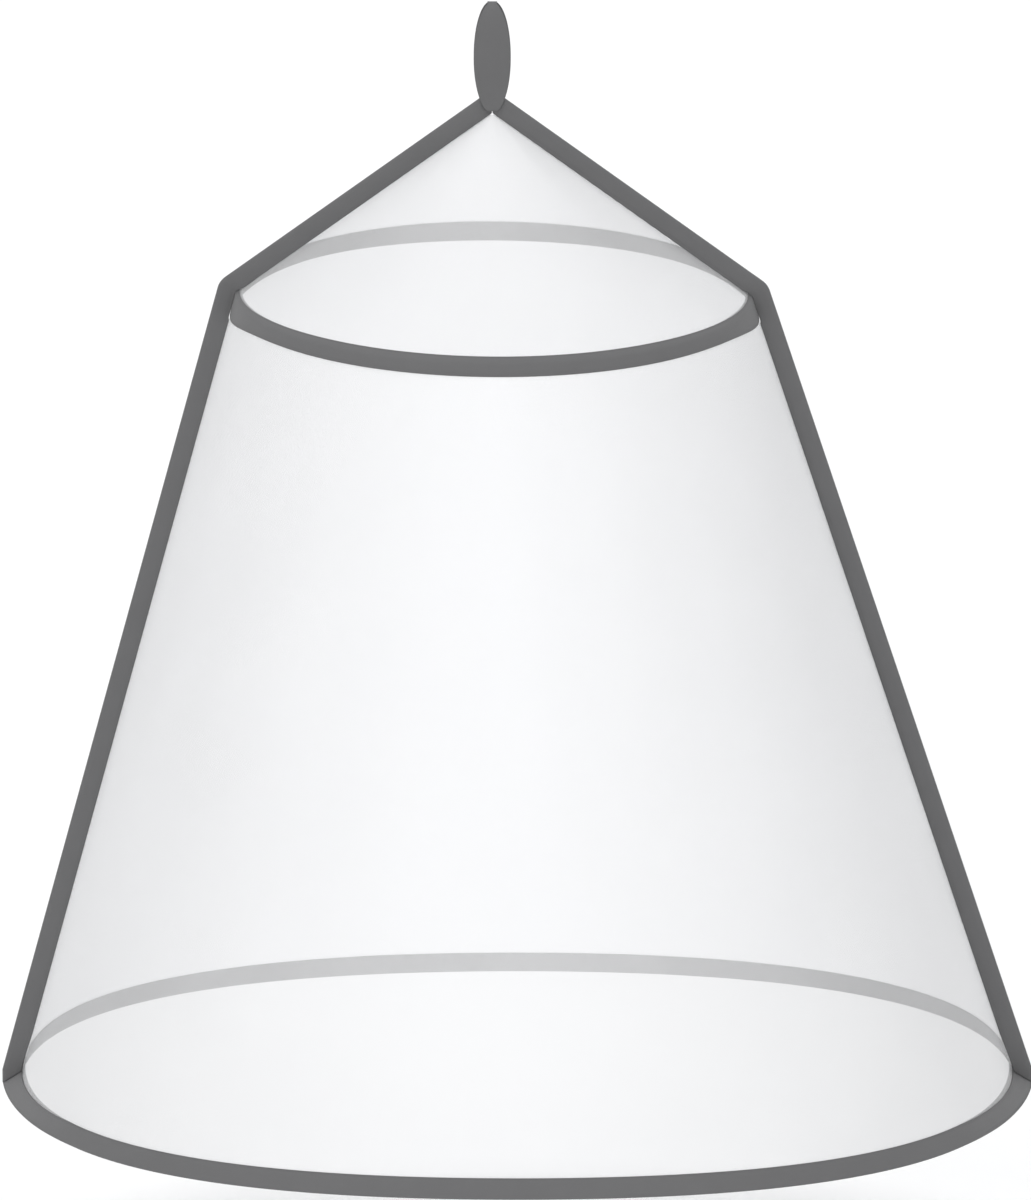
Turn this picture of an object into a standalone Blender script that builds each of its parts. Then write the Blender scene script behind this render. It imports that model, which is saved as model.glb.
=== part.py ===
"""Mosquito net canopy: a net cone on a hoop, hung from a cloth loop, with taped seams and hem.

The origin is the top of the loop, +Z is up and -Y is the front. Units are metres.
"""

import math
from collections import namedtuple

import bmesh
import bpy
from mathutils import Matrix, Vector
from mathutils.geometry import interpolate_bezier

COLLECTION = "Mosquito net canopy"

# Rings that the net is stretched between. A tilt lowers the ring's front, a roll its right side.
# Fullness is how much further out the cloth swings between the sides, the front and the back.
Ring = namedtuple("Ring", "centre_x radius depth height tilt roll fullness")
APEX = Ring(0.000, 0.003, 0.003, -0.218, 0.0, 0.0, 0.0)
SHOULDER = Ring(0.003, 0.485, 0.485, -0.566, math.radians(3.07), math.radians(0.45), 0.0)
HEM = Ring(0.048, 0.945, 0.923, -2.097, 0.0, 0.0, 0.05)
TANGENT_STEP = 0.001
SEGMENTS = 80
SMOOTH_ANGLE = math.radians(35)

# Cloth
NET_THICKNESS = 0.0015
TAPE_THICKNESS = 0.0015
LOOP_THICKNESS = 0.0020
SEWN_GAP = 0.00037  # between two cloths that are sewn together
CUT_GAP = 0.0005  # from a net's cut edge to the line where two nets meet
TAPE_OFFSET = NET_THICKNESS / 2 + SEWN_GAP + TAPE_THICKNESS / 2

# Tape round the shoulder: how far it reaches up the roof and down the skirt
SHOULDER_UP = 0.0165
SHOULDER_DOWN = 0.0250
HEM_TAPE = 0.038  # height of the folded tape at the hem
HEM_TUCK = 0.001  # from the net's lower edge to the fold of that tape
HEM_FLARE = 0.0285  # how far its outer leaf opens out under the side tapes
HEM_DIP = 0.016  # how much lower that leaf's upper edge lies there
FLARE_ARC = math.radians(31)  # how far round the hem it takes to lie flat again

# Side seams: both nets turn outward and lie in a folded tape
SEAM_HALF = 0.0002 + NET_THICKNESS / 2  # from the seam's plane to the middle of a net
SEAM_ALLOWANCE = 0.030
SEAM_CLEAR = 0.0020  # from the shoulder and hem tapes to the turned-out net
TAPE_CLEAR = 0.0004  # from those tapes to the row that ends the turn
SIDE_TAPE_START = 0.00312  # height of the tape's open edge above the net
SIDE_TAPE_END = 0.0375  # height of its fold
SIDE_TAPE_HALF = SEAM_HALF + TAPE_OFFSET
APEX_CLEAR = 0.0007  # from the middle of the canopy to the side tapes' mitred ends
FOLD_STEPS = 4
CORNER_STEPS = 4
ROOF_STATIONS = (0.35, 0.7)
SKIRT_STATIONS = (0.2, 0.4, 0.6, 0.8)
FOOT_LENGTH = 0.032  # the tape's lower end, where its fold turns straight down
FOOT_END = 0.0306  # height of the fold at the very end
FOOT_CLEAR = 0.0024  # from that slanting end down to the hem tape's leaf
SKIRT_ROWS = 3

# Hoop
HOOP_RADIUS = 0.003
HOOP_GAP = 0.0004
HOOP_SIDES = 8

# Hanging loop: a strip with an oval outline, folded over at the top
LOOP_HALF_WIDTH = 0.035
LOOP_HALF_HEIGHT = 0.1075
LOOP_TOP_WIDTH = 0.018
LOOP_FOOT = -0.211  # where its tails end
LOOP_BASE = -0.186  # where its two sides part
LOOP_SPREAD = 0.004  # how far apart the curve's lower handle is drawn
LOOP_SWELL = 0.056  # length of that handle
LOOP_BULGE = 0.030  # length of the level handle at the fold
LOOP_BASE_HALF = SIDE_TAPE_HALF + TAPE_THICKNESS / 2 + SEWN_GAP + LOOP_THICKNESS / 2
LOOP_STEPS = 15

GREY_TAPE = (0.156, 0.156, 0.158)
WHITE_NET = (0.86, 0.87, 0.88)
WHITE_PAINT = (0.70, 0.70, 0.70)


def clear_scene():
    for obj in list(bpy.data.objects):
        bpy.data.objects.remove(obj, do_unlink=True)


def material(name, colour, roughness, alpha=1.0):
    """A Principled material of one colour."""
    made = bpy.data.materials.new(name)
    made.use_nodes = True
    shader = made.node_tree.nodes["Principled BSDF"]
    shader.inputs["Base Color"].default_value = (*colour, 1.0)
    shader.inputs["Roughness"].default_value = roughness
    shader.inputs["Metallic"].default_value = 0.0
    shader.inputs["Alpha"].default_value = alpha
    return made


def ring_lean(ring):
    """The rotation that a ring's tilt and roll give it."""
    return Matrix.Rotation(ring.roll, 3, "Y") @ Matrix.Rotation(ring.tilt, 3, "X")


def ring_point(ring, angle):
    """A point of a ring, with the angle counted from +X towards the back."""
    swing = 1.0 + ring.fullness * math.sin(2.0 * angle) ** 2
    across = ring.radius * swing * math.cos(angle)
    deep = ring.depth * swing * math.sin(angle)
    level = ring_lean(ring) @ Vector((across, deep, 0.0))
    return level + Vector((ring.centre_x, 0.0, ring.height))


def ring_tangent(ring, angle):
    """The ring's direction at an angle, as long as its radius."""
    ahead = ring_point(ring, angle + TANGENT_STEP)
    behind = ring_point(ring, angle - TANGENT_STEP)
    return (ahead - behind) / (2.0 * TANGENT_STEP)


def drop(upper, lower, angle):
    """The straight way down the cloth from one ring to the next."""
    return ring_point(lower, angle) - ring_point(upper, angle)


def outward(upper, lower, angle, share):
    """The cloth's outward normal at a share of the way down."""
    around = ring_tangent(upper, angle).lerp(ring_tangent(lower, angle), share)
    return drop(upper, lower, angle).cross(around).normalized()


def cloth_point(upper, lower, angle, share, offset=0.0):
    """A point on the cloth between two rings, moved outward by offset."""
    point = ring_point(upper, angle) + drop(upper, lower, angle) * share
    return point + outward(upper, lower, angle, share) * offset


def grid_object(name, rows, thickness, closed, surface):
    """A cloth of quads through rows of points, thickened; None marks a place without cloth."""
    sheet = bmesh.new()
    grid = [[None if point is None else sheet.verts.new(point) for point in row] for row in rows]
    columns = len(grid[0])
    for upper, lower in zip(grid, grid[1:]):
        for column in range(columns if closed else columns - 1):
            following = (column + 1) % columns
            corners = (upper[column], lower[column], lower[following], upper[following])
            if None not in corners:
                sheet.faces.new(corners)
    loose = [vert for vert in sheet.verts if not vert.link_faces]
    bmesh.ops.delete(sheet, geom=loose, context="VERTS")
    mesh = bpy.data.meshes.new(name)
    sheet.to_mesh(mesh)
    sheet.free()
    mesh.shade_smooth()
    mesh.set_sharp_from_angle(angle=SMOOTH_ANGLE)
    mesh.materials.append(surface)
    obj = bpy.data.objects.new(name, mesh)
    bpy.data.collections[COLLECTION].objects.link(obj)
    shell = obj.modifiers.new("Thickness", "SOLIDIFY")
    shell.thickness = thickness
    shell.offset = 0.0
    shell.use_even_offset = True
    shell.use_quality_normals = True
    return obj


def seam_plane(upper, lower, end):
    """Start, way down and normal of a side seam; end is 1 at the right and -1 at the left."""
    angle = 0.0 if end > 0 else math.pi
    down = drop(upper, lower, angle)
    normal = down.cross(Vector((0.0, end, 0.0))).normalized()
    return ring_point(upper, angle), down, normal


def seam_point(upper, lower, end, share, height):
    """A point in the seam's plane, at a share of the way down and a height above the net."""
    start, down, normal = seam_plane(upper, lower, end)
    return start + down * share + normal * height


def share_at_x(upper, lower, end, height, x):
    """The share of the way down a side seam at which that height is at x."""
    first = seam_point(upper, lower, end, 0.0, height).x
    last = seam_point(upper, lower, end, 1.0, height).x
    return (x - first) / (last - first)


def panel_row(upper, lower, share, side, turned):
    """One row of a half of the net, with its seam allowances where they are turned out."""
    depth = upper.depth + (lower.depth - upper.depth) * share
    edge = math.asin(SEAM_HALF / depth)
    count = SEGMENTS // 2
    angles = [edge + (math.pi - 2 * edge) * step / count for step in range(count + 1)]
    row = [cloth_point(upper, lower, side * angle, share) for angle in angles]
    ends = [None, None]
    if turned:
        for index, end in enumerate((1, -1)):
            normal = seam_plane(upper, lower, end)[2]
            ends[index] = row[-index] + normal * SEAM_ALLOWANCE
    return [ends[0], *row, ends[1]]


def net_panel(name, upper, lower, side, shares, turned, surface):
    """The front (side -1) or back (side 1) half of the roof or of the skirt."""
    rows = [
        panel_row(upper, lower, share, side, turned[0] <= share <= turned[1])
        for share in shares
    ]
    return grid_object(name, rows, NET_THICKNESS, False, surface)


def roof_panels(surface):
    length = drop(APEX, SHOULDER, 0.0).length
    last = 1.0 - (SHOULDER_UP + SEAM_CLEAR) / length
    flat = 1.0 - (SHOULDER_UP + TAPE_CLEAR) / length
    shares = [0.0, last / 2, last, flat, 1.0 - CUT_GAP / length]
    for name, side in (("net_roof_front", -1), ("net_roof_back", 1)):
        net_panel(name, APEX, SHOULDER, side, shares, (0.0, last), surface)


def skirt_panels(surface):
    length = drop(SHOULDER, HEM, 0.0).length
    first = (SHOULDER_DOWN + SEAM_CLEAR) / length
    last = 1.0 - (HEM_TAPE + SEAM_CLEAR) / length
    above = [CUT_GAP / length, (SHOULDER_DOWN + TAPE_CLEAR) / length]
    middle = [first + (last - first) * row / SKIRT_ROWS for row in range(SKIRT_ROWS + 1)]
    below = [1.0 - (HEM_TAPE + TAPE_CLEAR) / length, 1.0 - HEM_TUCK / length]
    shares = above + middle + below
    for name, side in (("net_skirt_front", -1), ("net_skirt_back", 1)):
        net_panel(name, SHOULDER, HEM, side, shares, (first, last), surface)


def ring_angles():
    return [math.tau * step / SEGMENTS for step in range(SEGMENTS)]


def shoulder_tape(surface):
    """The tape that covers the seam between roof and skirt from outside."""
    rows = [[], [], []]
    for angle in ring_angles():
        roof_end = 1.0 - SHOULDER_UP / drop(APEX, SHOULDER, angle).length
        skirt_end = SHOULDER_DOWN / drop(SHOULDER, HEM, angle).length
        roof_normal = outward(APEX, SHOULDER, angle, 1.0)
        skirt_normal = outward(SHOULDER, HEM, angle, 0.0)
        middle = (roof_normal + skirt_normal).normalized()
        reach = TAPE_OFFSET / middle.dot(roof_normal)
        rows[0].append(cloth_point(APEX, SHOULDER, angle, roof_end, TAPE_OFFSET))
        rows[1].append(ring_point(SHOULDER, angle) + middle * reach)
        rows[2].append(cloth_point(SHOULDER, HEM, angle, skirt_end, TAPE_OFFSET))
    return grid_object("shoulder_tape", rows, TAPE_THICKNESS, True, surface)


def hem_leaf(angle):
    """The upper and lower edge of the hem tape's outer leaf, which opens out at the side seams."""
    away = math.asin(min(1.0, abs(math.sin(angle))))
    opened = max(0.0, 1.0 - away / FLARE_ARC)
    top = 1.0 - (HEM_TAPE - HEM_DIP * opened) / drop(SHOULDER, HEM, angle).length
    normal = outward(SHOULDER, HEM, angle, 1.0)
    level = Vector((normal.x, normal.y, 0.0)).normalized()
    upper = cloth_point(SHOULDER, HEM, angle, top, TAPE_OFFSET)
    lower = cloth_point(SHOULDER, HEM, angle, 1.0, TAPE_OFFSET)
    return upper, lower + level * HEM_FLARE * opened


def hem_binding(surface):
    """The tape folded round the lower edge of the skirt, which also closes the side tapes' ends."""
    rows = [[] for _ in range(5)]
    for angle in ring_angles():
        down = drop(SHOULDER, HEM, angle)
        top = 1.0 - HEM_TAPE / down.length
        upper, lower = hem_leaf(angle)
        rows[0].append(upper)
        rows[1].append(lower)
        rows[2].append(ring_point(HEM, angle) + down.normalized() * TAPE_OFFSET)
        rows[3].append(cloth_point(SHOULDER, HEM, angle, 1.0, -TAPE_OFFSET))
        rows[4].append(cloth_point(SHOULDER, HEM, angle, top, -TAPE_OFFSET))
    return grid_object("hem_binding", rows, TAPE_THICKNESS, True, surface)


def side_profile(fold):
    """Height above the net and offset from the seam's plane, round a tape folded at that height."""
    centre = fold - SIDE_TAPE_HALF
    profile = [(SIDE_TAPE_START, -SIDE_TAPE_HALF)]
    for step in range(FOLD_STEPS + 1):
        turn = math.pi * step / FOLD_STEPS
        height = centre + SIDE_TAPE_HALF * math.sin(turn)
        profile.append((height, -SIDE_TAPE_HALF * math.cos(turn)))
    profile.append((SIDE_TAPE_START, SIDE_TAPE_HALF))
    return profile


def side_station(place, fold=SIDE_TAPE_END):
    """A row of the folded tape, where place gives the seam's point at a height above the net."""
    return [place(height) + Vector((0.0, offset, 0.0)) for height, offset in side_profile(fold)]


def foot_place(end, above):
    """A row that runs parallel to the hem tape's open leaf, so far above the tape's end."""
    angle = 0.0 if end > 0 else math.pi
    down, normal = seam_plane(SHOULDER, HEM, end)[1:]
    way = down.normalized()
    upper, lower = [point - ring_point(HEM, angle) for point in hem_leaf(angle)]
    slope = (upper - lower).dot(way) / (upper - lower).dot(normal)

    def place(height):
        beyond = upper.dot(way) + slope * (height - upper.dot(normal)) - FOOT_CLEAR - above
        return seam_point(SHOULDER, HEM, end, 1.0 + beyond / down.length, height)

    return place


def side_binding(name, end, surface):
    """The tape folded round both nets' edges, from the apex over the shoulder to the hem."""
    corner = ring_point(SHOULDER, 0.0 if end > 0 else math.pi)
    roof_normal = seam_plane(APEX, SHOULDER, end)[2]
    skirt_normal = seam_plane(SHOULDER, HEM, end)[2]

    def mitre(height):
        share = share_at_x(APEX, SHOULDER, end, height, end * APEX_CLEAR)
        return seam_point(APEX, SHOULDER, end, share, height)

    rows = [side_station(mitre)]
    for share in ROOF_STATIONS:
        rows.append(side_station(lambda height: seam_point(APEX, SHOULDER, end, share, height)))
    for step in range(CORNER_STEPS + 1):
        normal = roof_normal.slerp(skirt_normal, step / CORNER_STEPS)
        rows.append(side_station(lambda height: corner + normal * height))
    for share in SKIRT_STATIONS:
        rows.append(side_station(lambda height: seam_point(SHOULDER, HEM, end, share, height)))
    rows.append(side_station(foot_place(end, FOOT_LENGTH)))
    rows.append(side_station(foot_place(end, 0.0), FOOT_END))
    return grid_object(name, rows, TAPE_THICKNESS, False, surface)


def hoop_line():
    """The hoop's centre line, tucked inside the corner between roof and skirt."""
    roof = math.atan2(SHOULDER.radius - APEX.radius, APEX.height - SHOULDER.height)
    skirt = math.atan2(HEM.radius - SHOULDER.radius, SHOULDER.height - HEM.height)
    middle = (roof + skirt) / 2
    reach = (NET_THICKNESS / 2 + HOOP_GAP + HOOP_RADIUS) / math.cos((roof - skirt) / 2)
    return SHOULDER._replace(
        radius=SHOULDER.radius - reach * math.cos(middle),
        depth=SHOULDER.depth - reach * math.cos(middle),
        height=SHOULDER.height - reach * math.sin(middle),
    )


def hoop(surface):
    line = hoop_line()
    bpy.ops.mesh.primitive_torus_add(
        major_segments=SEGMENTS,
        minor_segments=HOOP_SIDES,
        major_radius=line.radius,
        minor_radius=HOOP_RADIUS,
        location=(line.centre_x, 0.0, line.height),
        rotation=(line.tilt, line.roll, 0.0),
    )
    obj = bpy.context.object
    obj.name = "hoop"
    for owner in list(obj.users_collection):
        owner.objects.unlink(obj)
    bpy.data.collections[COLLECTION].objects.link(obj)
    obj.data.shade_smooth()
    obj.data.materials.append(surface)
    return obj


def hoop_sleeve(surface):
    """The tape inside the shoulder: a sling under the hoop, sewn to the roof and the skirt."""
    line = hoop_line()
    rise = ring_lean(line) @ Vector((0.0, 0.0, 1.0))
    rho = HOOP_RADIUS + HOOP_GAP + TAPE_THICKNESS / 2
    rows = [[] for _ in range(5)]
    for angle in ring_angles():
        centre = ring_point(line, angle)
        radial = (centre - Vector((line.centre_x, 0.0, line.height))).normalized()
        roof_end = 1.0 - SHOULDER_UP / drop(APEX, SHOULDER, angle).length
        skirt_end = SHOULDER_DOWN / drop(SHOULDER, HEM, angle).length
        upper = cloth_point(APEX, SHOULDER, angle, roof_end, -TAPE_OFFSET)
        lower = cloth_point(SHOULDER, HEM, angle, skirt_end, -TAPE_OFFSET)
        turns = []
        for point, way in ((upper, 1), (lower, -1)):
            reach = point - centre
            level = reach.dot(radial)
            height = reach.dot(rise)
            tangent = math.acos(rho / math.hypot(level, height))
            turns.append(math.atan2(height, level) % math.tau + way * tangent)
        rows[0].append(upper)
        for index, share in enumerate((0.0, 0.5, 1.0)):
            turn = turns[0] + (turns[1] - turns[0]) * share
            bend = radial * math.cos(turn) + rise * math.sin(turn)
            rows[index + 1].append(centre + bend * rho)
        rows[4].append(lower)
    return grid_object("hoop_sleeve", rows, TAPE_THICKNESS, True, surface)


def loop_side():
    """The loop's front side from its tail to the middle of the fold."""
    top = Vector((0.0, 0.0, -LOOP_THICKNESS / 2))
    base = Vector((0.0, -LOOP_BASE_HALF, LOOP_BASE))
    leave = base + Vector((0.0, -LOOP_SPREAD, LOOP_SWELL))
    arrive = top + Vector((0.0, -LOOP_BULGE, 0.0))
    tail = Vector((0.0, -LOOP_BASE_HALF, LOOP_FOOT))
    return [tail, *interpolate_bezier(base, leave, arrive, top, LOOP_STEPS)]


def hanging_loop(surface):
    """The strip that the canopy hangs by, its tails sewn to the side tapes at the apex."""
    front = loop_side()
    mirror = Matrix.Scale(-1.0, 3, Vector((0.0, 1.0, 0.0)))
    path = front + [mirror @ point for point in reversed(front[:-1])]
    rows = []
    for point in path:
        climb = (point.z + LOOP_HALF_HEIGHT) / LOOP_HALF_HEIGHT
        width = 2 * LOOP_HALF_WIDTH * math.sqrt(max(0.0, 1.0 - climb * climb))
        half = max(width, LOOP_TOP_WIDTH) / 2
        rows.append([point + Vector((across * half, 0.0, 0.0)) for across in (-1, 0, 1)])
    return grid_object("hanging_loop", rows, LOOP_THICKNESS, False, surface)


def build():
    clear_scene()
    bpy.context.scene.collection.children.link(bpy.data.collections.new(COLLECTION))
    net = material("White net", WHITE_NET, 0.85, alpha=0.6)
    tape = material("Grey tape", GREY_TAPE, 0.9)
    paint = material("White painted steel", WHITE_PAINT, 0.4)
    roof_panels(net)
    skirt_panels(net)
    shoulder_tape(tape)
    hem_binding(tape)
    side_binding("side_binding_right", 1, tape)
    side_binding("side_binding_left", -1, tape)
    hoop(paint)
    hoop_sleeve(tape)
    hanging_loop(tape)


build()
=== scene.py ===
# %% [markdown]
# # A mosquito net canopy
#
# A bell of fine white net hangs over a bed from one cloth loop. A hoop in its shoulder spreads it,
# and grey tape covers every seam: round the shoulder, down both sides and round the hem.
#
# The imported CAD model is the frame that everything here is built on. Its cloth solids are plain
# and thick, so each one is replaced by a thin sheet on the same lines, with its own weave and
# stitches. Lengths are in metres, +Z is up and -Y is the front.

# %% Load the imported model
import math
from collections import namedtuple

import bpy
from mathutils import Matrix, Vector
from mathutils.geometry import interpolate_bezier


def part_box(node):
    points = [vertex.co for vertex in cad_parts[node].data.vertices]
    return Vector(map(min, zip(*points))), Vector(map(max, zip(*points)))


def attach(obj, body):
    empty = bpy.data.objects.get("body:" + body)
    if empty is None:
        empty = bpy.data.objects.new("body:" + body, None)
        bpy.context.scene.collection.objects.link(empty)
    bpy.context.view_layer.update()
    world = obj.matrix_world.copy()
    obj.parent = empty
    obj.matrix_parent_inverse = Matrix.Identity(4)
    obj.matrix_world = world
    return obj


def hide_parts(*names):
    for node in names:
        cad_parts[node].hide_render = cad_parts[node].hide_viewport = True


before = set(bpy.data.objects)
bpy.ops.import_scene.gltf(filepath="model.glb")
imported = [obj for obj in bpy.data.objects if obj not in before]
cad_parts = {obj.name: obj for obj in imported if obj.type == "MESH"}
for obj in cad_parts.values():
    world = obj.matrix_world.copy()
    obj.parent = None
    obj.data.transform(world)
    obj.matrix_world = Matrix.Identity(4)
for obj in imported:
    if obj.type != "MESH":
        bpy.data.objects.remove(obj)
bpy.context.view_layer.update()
print("nodes:", ", ".join(sorted(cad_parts)))

# %% [markdown]
# ## The rings that the net is stretched between
#
# All of the net lies on straight lines between three rings: a tiny one at the apex, the shoulder
# and the hem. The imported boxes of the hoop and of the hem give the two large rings, once the
# thickness of the rod or the tape is taken off. The hoop hangs a little lower in front and at the
# right. The hem is not a true circle: the side seams hold it in, and it swings further out between
# them and the middle, which is its fullness.

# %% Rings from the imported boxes
Ring = namedtuple("Ring", "centre_x radius depth height tilt roll fullness")
ROD_RADIUS = 0.003
ROD_TO_NET = Vector((0.00358, 0.0, 0.00254))  # from the rod's middle to the net's corner
HEM_TO_NET = Vector((0.03249, 0.00261, 0.00282))  # from the hem solid's outermost point to the net
HOOP_ROLL = math.radians(0.45)
HEM_FULLNESS = 0.05

hoop_low, hoop_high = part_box("hoop")
hem_low, hem_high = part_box("hem_binding")
rod_ring_radius = (hoop_high.x - hoop_low.x) / 2 - ROD_RADIUS
lean = (hoop_high.z - hoop_low.z - 2 * ROD_RADIUS) / (2 * rod_ring_radius)
shoulder_radius = rod_ring_radius + ROD_TO_NET.x

APEX = Ring(0.0, 0.003, 0.003, -0.218, 0.0, 0.0, 0.0)
SHOULDER = Ring(
    (hoop_low.x + hoop_high.x) / 2,
    shoulder_radius,
    shoulder_radius,
    (hoop_low.z + hoop_high.z) / 2 + ROD_TO_NET.z,
    math.asin(math.sqrt(lean**2 - math.sin(HOOP_ROLL) ** 2) / math.cos(HOOP_ROLL)),
    HOOP_ROLL,
    0.0,
)
HEM = Ring(
    (hem_low.x + hem_high.x) / 2,
    (hem_high.x - hem_low.x) / 2 - HEM_TO_NET.x,
    (hem_high.y - hem_low.y) / 2 - HEM_TO_NET.y,
    hem_low.z + HEM_TO_NET.z,
    0.0,
    0.0,
    HEM_FULLNESS,
)
for name, ring in (("apex", APEX), ("shoulder", SHOULDER), ("hem", HEM)):
    print(name, [round(value, 4) for value in ring])

# %% [markdown]
# ## Points on the cloth
#
# A seamstress would mark every tape by its distance from a seam. These helpers do the same: they
# turn "this far round, this far down, this far off the net" into a point in space.

# %% Points and directions on the net
TANGENT_STEP = 0.001  # in radians


def ring_lean(ring):
    """The rotation that a ring's tilt and roll give it."""
    return Matrix.Rotation(ring.roll, 3, "Y") @ Matrix.Rotation(ring.tilt, 3, "X")


def ring_point(ring, angle):
    """A point of a ring, with the angle counted from +X towards the back."""
    swing = 1.0 + ring.fullness * math.sin(2.0 * angle) ** 2
    level = Vector((ring.radius * math.cos(angle), ring.depth * math.sin(angle), 0.0)) * swing
    return ring_lean(ring) @ level + Vector((ring.centre_x, 0.0, ring.height))


def ring_tangent(ring, angle):
    """The direction of a ring at an angle, as long as its radius."""
    ahead = ring_point(ring, angle + TANGENT_STEP)
    behind = ring_point(ring, angle - TANGENT_STEP)
    return (ahead - behind) / (2.0 * TANGENT_STEP)


def ring_length(ring):
    """The way round a ring."""
    points = [ring_point(ring, math.tau * step / 360) for step in range(361)]
    return sum((second - first).length for first, second in zip(points, points[1:]))


def drop(upper, lower, angle):
    """The straight way down the cloth from one ring to the next."""
    return ring_point(lower, angle) - ring_point(upper, angle)


def outward(upper, lower, angle, share):
    """The cloth's outward normal at a share of the way down."""
    around = ring_tangent(upper, angle).lerp(ring_tangent(lower, angle), share)
    return drop(upper, lower, angle).cross(around).normalized()


def cloth_point(upper, lower, angle, share, offset=0.0):
    """A point on the cloth between two rings, moved outward by offset."""
    point = ring_point(upper, angle) + drop(upper, lower, angle) * share
    return point + outward(upper, lower, angle, share) * offset


def roof_point(angle, above, offset):
    """A point on the roof, so far above the shoulder seam."""
    share = 1.0 - above / drop(APEX, SHOULDER, angle).length
    return cloth_point(APEX, SHOULDER, angle, share, offset)


def skirt_point(angle, below, offset):
    """A point on the skirt, so far below the shoulder seam."""
    return cloth_point(SHOULDER, HEM, angle, below / drop(SHOULDER, HEM, angle).length, offset)


def hem_point(angle, above, offset):
    """A point on the skirt, so far above the net's lower edge."""
    share = 1.0 - above / drop(SHOULDER, HEM, angle).length
    return cloth_point(SHOULDER, HEM, angle, share, offset)


print("front of the shoulder:", [round(v, 4) for v in ring_point(SHOULDER, -math.pi / 2)])

# %% [markdown]
# ## Short words for node trees
#
# Shaders and Geometry Nodes are both built from the same few moves: add a node, set it, feed it.
# A few helpers keep the trees below short enough to read as sums.

# %% Helpers for node trees


def add(tree, kind, inputs=None, **settings):
    """Adds a node, sets its properties, and feeds its inputs with sockets or plain values."""
    made = tree.nodes.new(kind)
    for name, value in settings.items():
        setattr(made, name, value)
    for key, value in (inputs or {}).items():
        if isinstance(value, bpy.types.NodeSocket):
            tree.links.new(value, made.inputs[key])
        else:
            made.inputs[key].default_value = value
    return made


def maths(tree, operation, *values):
    """One sum of a Math node, as a socket."""
    return add(tree, "ShaderNodeMath", dict(enumerate(values)), operation=operation).outputs[0]


def times(tree, first, *others):
    """Values multiplied together."""
    for value in others:
        first = maths(tree, "MULTIPLY", first, value)
    return first


def plus(tree, first, *others):
    """Values added up."""
    for value in others:
        first = maths(tree, "ADD", first, value)
    return first


def minus(tree, first, *others):
    """A value less the others."""
    for value in others:
        first = maths(tree, "SUBTRACT", first, value)
    return first


def ranged(tree, value, to_min, to_max, from_min=0.0, from_max=1.0, **settings):
    """A value carried from one range to another, and held at both ends."""
    ends = {"From Min": from_min, "From Max": from_max, "To Min": to_min, "To Max": to_max}
    made = add(tree, "ShaderNodeMapRange", {"Value": value, **ends}, **settings)
    return made.outputs["Result"]


def vector_of(tree, **parts):
    """A vector from its X, Y and Z; a part left out is zero."""
    return add(tree, "ShaderNodeCombineXYZ", parts).outputs["Vector"]


def vectors(tree, operation, *values):
    """One sum of a Vector Math node, as a socket."""
    made = add(tree, "ShaderNodeVectorMath", dict(enumerate(values)), operation=operation)
    return made.outputs["Value" if operation in ("LENGTH", "DOT_PRODUCT") else "Vector"]


def scaled(tree, vector, factor):
    """A vector times a number."""
    made = add(tree, "ShaderNodeVectorMath", {"Vector": vector, "Scale": factor}, operation="SCALE")
    return made.outputs["Vector"]


def shape(tree, kind, inputs, **settings):
    """The shape that a node of Geometry Nodes makes, as a socket."""
    return add(tree, "GeometryNode" + kind, inputs, **settings).outputs[0]


def finish_shape(tree, made, material, socket):
    """Ends a tree: the shape is made real, smooth and of one material."""
    real = shape(tree, "RealizeInstances", {"Geometry": made})
    smooth = shape(tree, "SetShadeSmooth", {"Geometry": real})
    painted = shape(tree, "SetMaterial", {"Geometry": smooth, "Material": material})
    tree.links.new(painted, socket)


def new_group(name, kind, inputs, outputs):
    """An empty node group with named sockets: the tree, what it is given and what it gives out."""
    tree = bpy.data.node_groups.new(name, kind)
    for socket, socket_type, value in inputs:
        made = tree.interface.new_socket(socket, in_out="INPUT", socket_type=socket_type)
        if value is not None:
            made.default_value = value
    for socket, socket_type in outputs:
        tree.interface.new_socket(socket, in_out="OUTPUT", socket_type=socket_type)
    return tree, tree.nodes.new("NodeGroupInput").outputs, tree.nodes.new("NodeGroupOutput").inputs


FLOAT, WHOLE, POINT = "NodeSocketFloat", "NodeSocketInt", "NodeSocketVector"
SHAPE, FINISH = "NodeSocketGeometry", "NodeSocketMaterial"
print("helpers ready")

# %% [markdown]
# ## Finish 1: uneven cloth
#
# No cloth is one even colour. Dye takes unevenly, yarn varies in thickness, and thin places let
# more light through. One group makes that soft change for every material here: a number near 1
# that drifts over the surface.

# %% Shader group: uneven


def build_uneven():
    tree, given, out = new_group(
        "uneven cloth",
        "ShaderNodeTree",
        [("Vector", POINT, None), ("Spot Size", FLOAT, 0.1), ("Amount", FLOAT, 0.05)],
        [("Factor", FLOAT)],
    )
    spots = maths(tree, "DIVIDE", 1.0, given["Spot Size"])
    place = scaled(tree, given["Vector"], spots)
    noise = add(tree, "ShaderNodeTexNoise", {"Vector": place, "Scale": 1.0, "Detail": 3.0})
    drift = times(tree, minus(tree, noise.outputs[0], 0.5), 2.0, given["Amount"])
    tree.links.new(plus(tree, drift, 1.0), out["Factor"])
    return tree


UNEVEN = build_uneven()
print("group:", UNEVEN.name, len(UNEVEN.nodes), "nodes")

# %% [markdown]
# ## Finish 2: hexagonal net
#
# Insect netting is knitted, not woven, and its holes are small hexagons. A texture image would
# blur or repeat, so the holes are worked out: two grids of rectangles, offset by half a step, find
# the nearest hexagon's middle, and the distance to its nearest side tells thread from hole. The
# vector comes from the cloth's flat pattern in metres, so the holes keep their size everywhere.

# %% Shader group: hexagonal net


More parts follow.
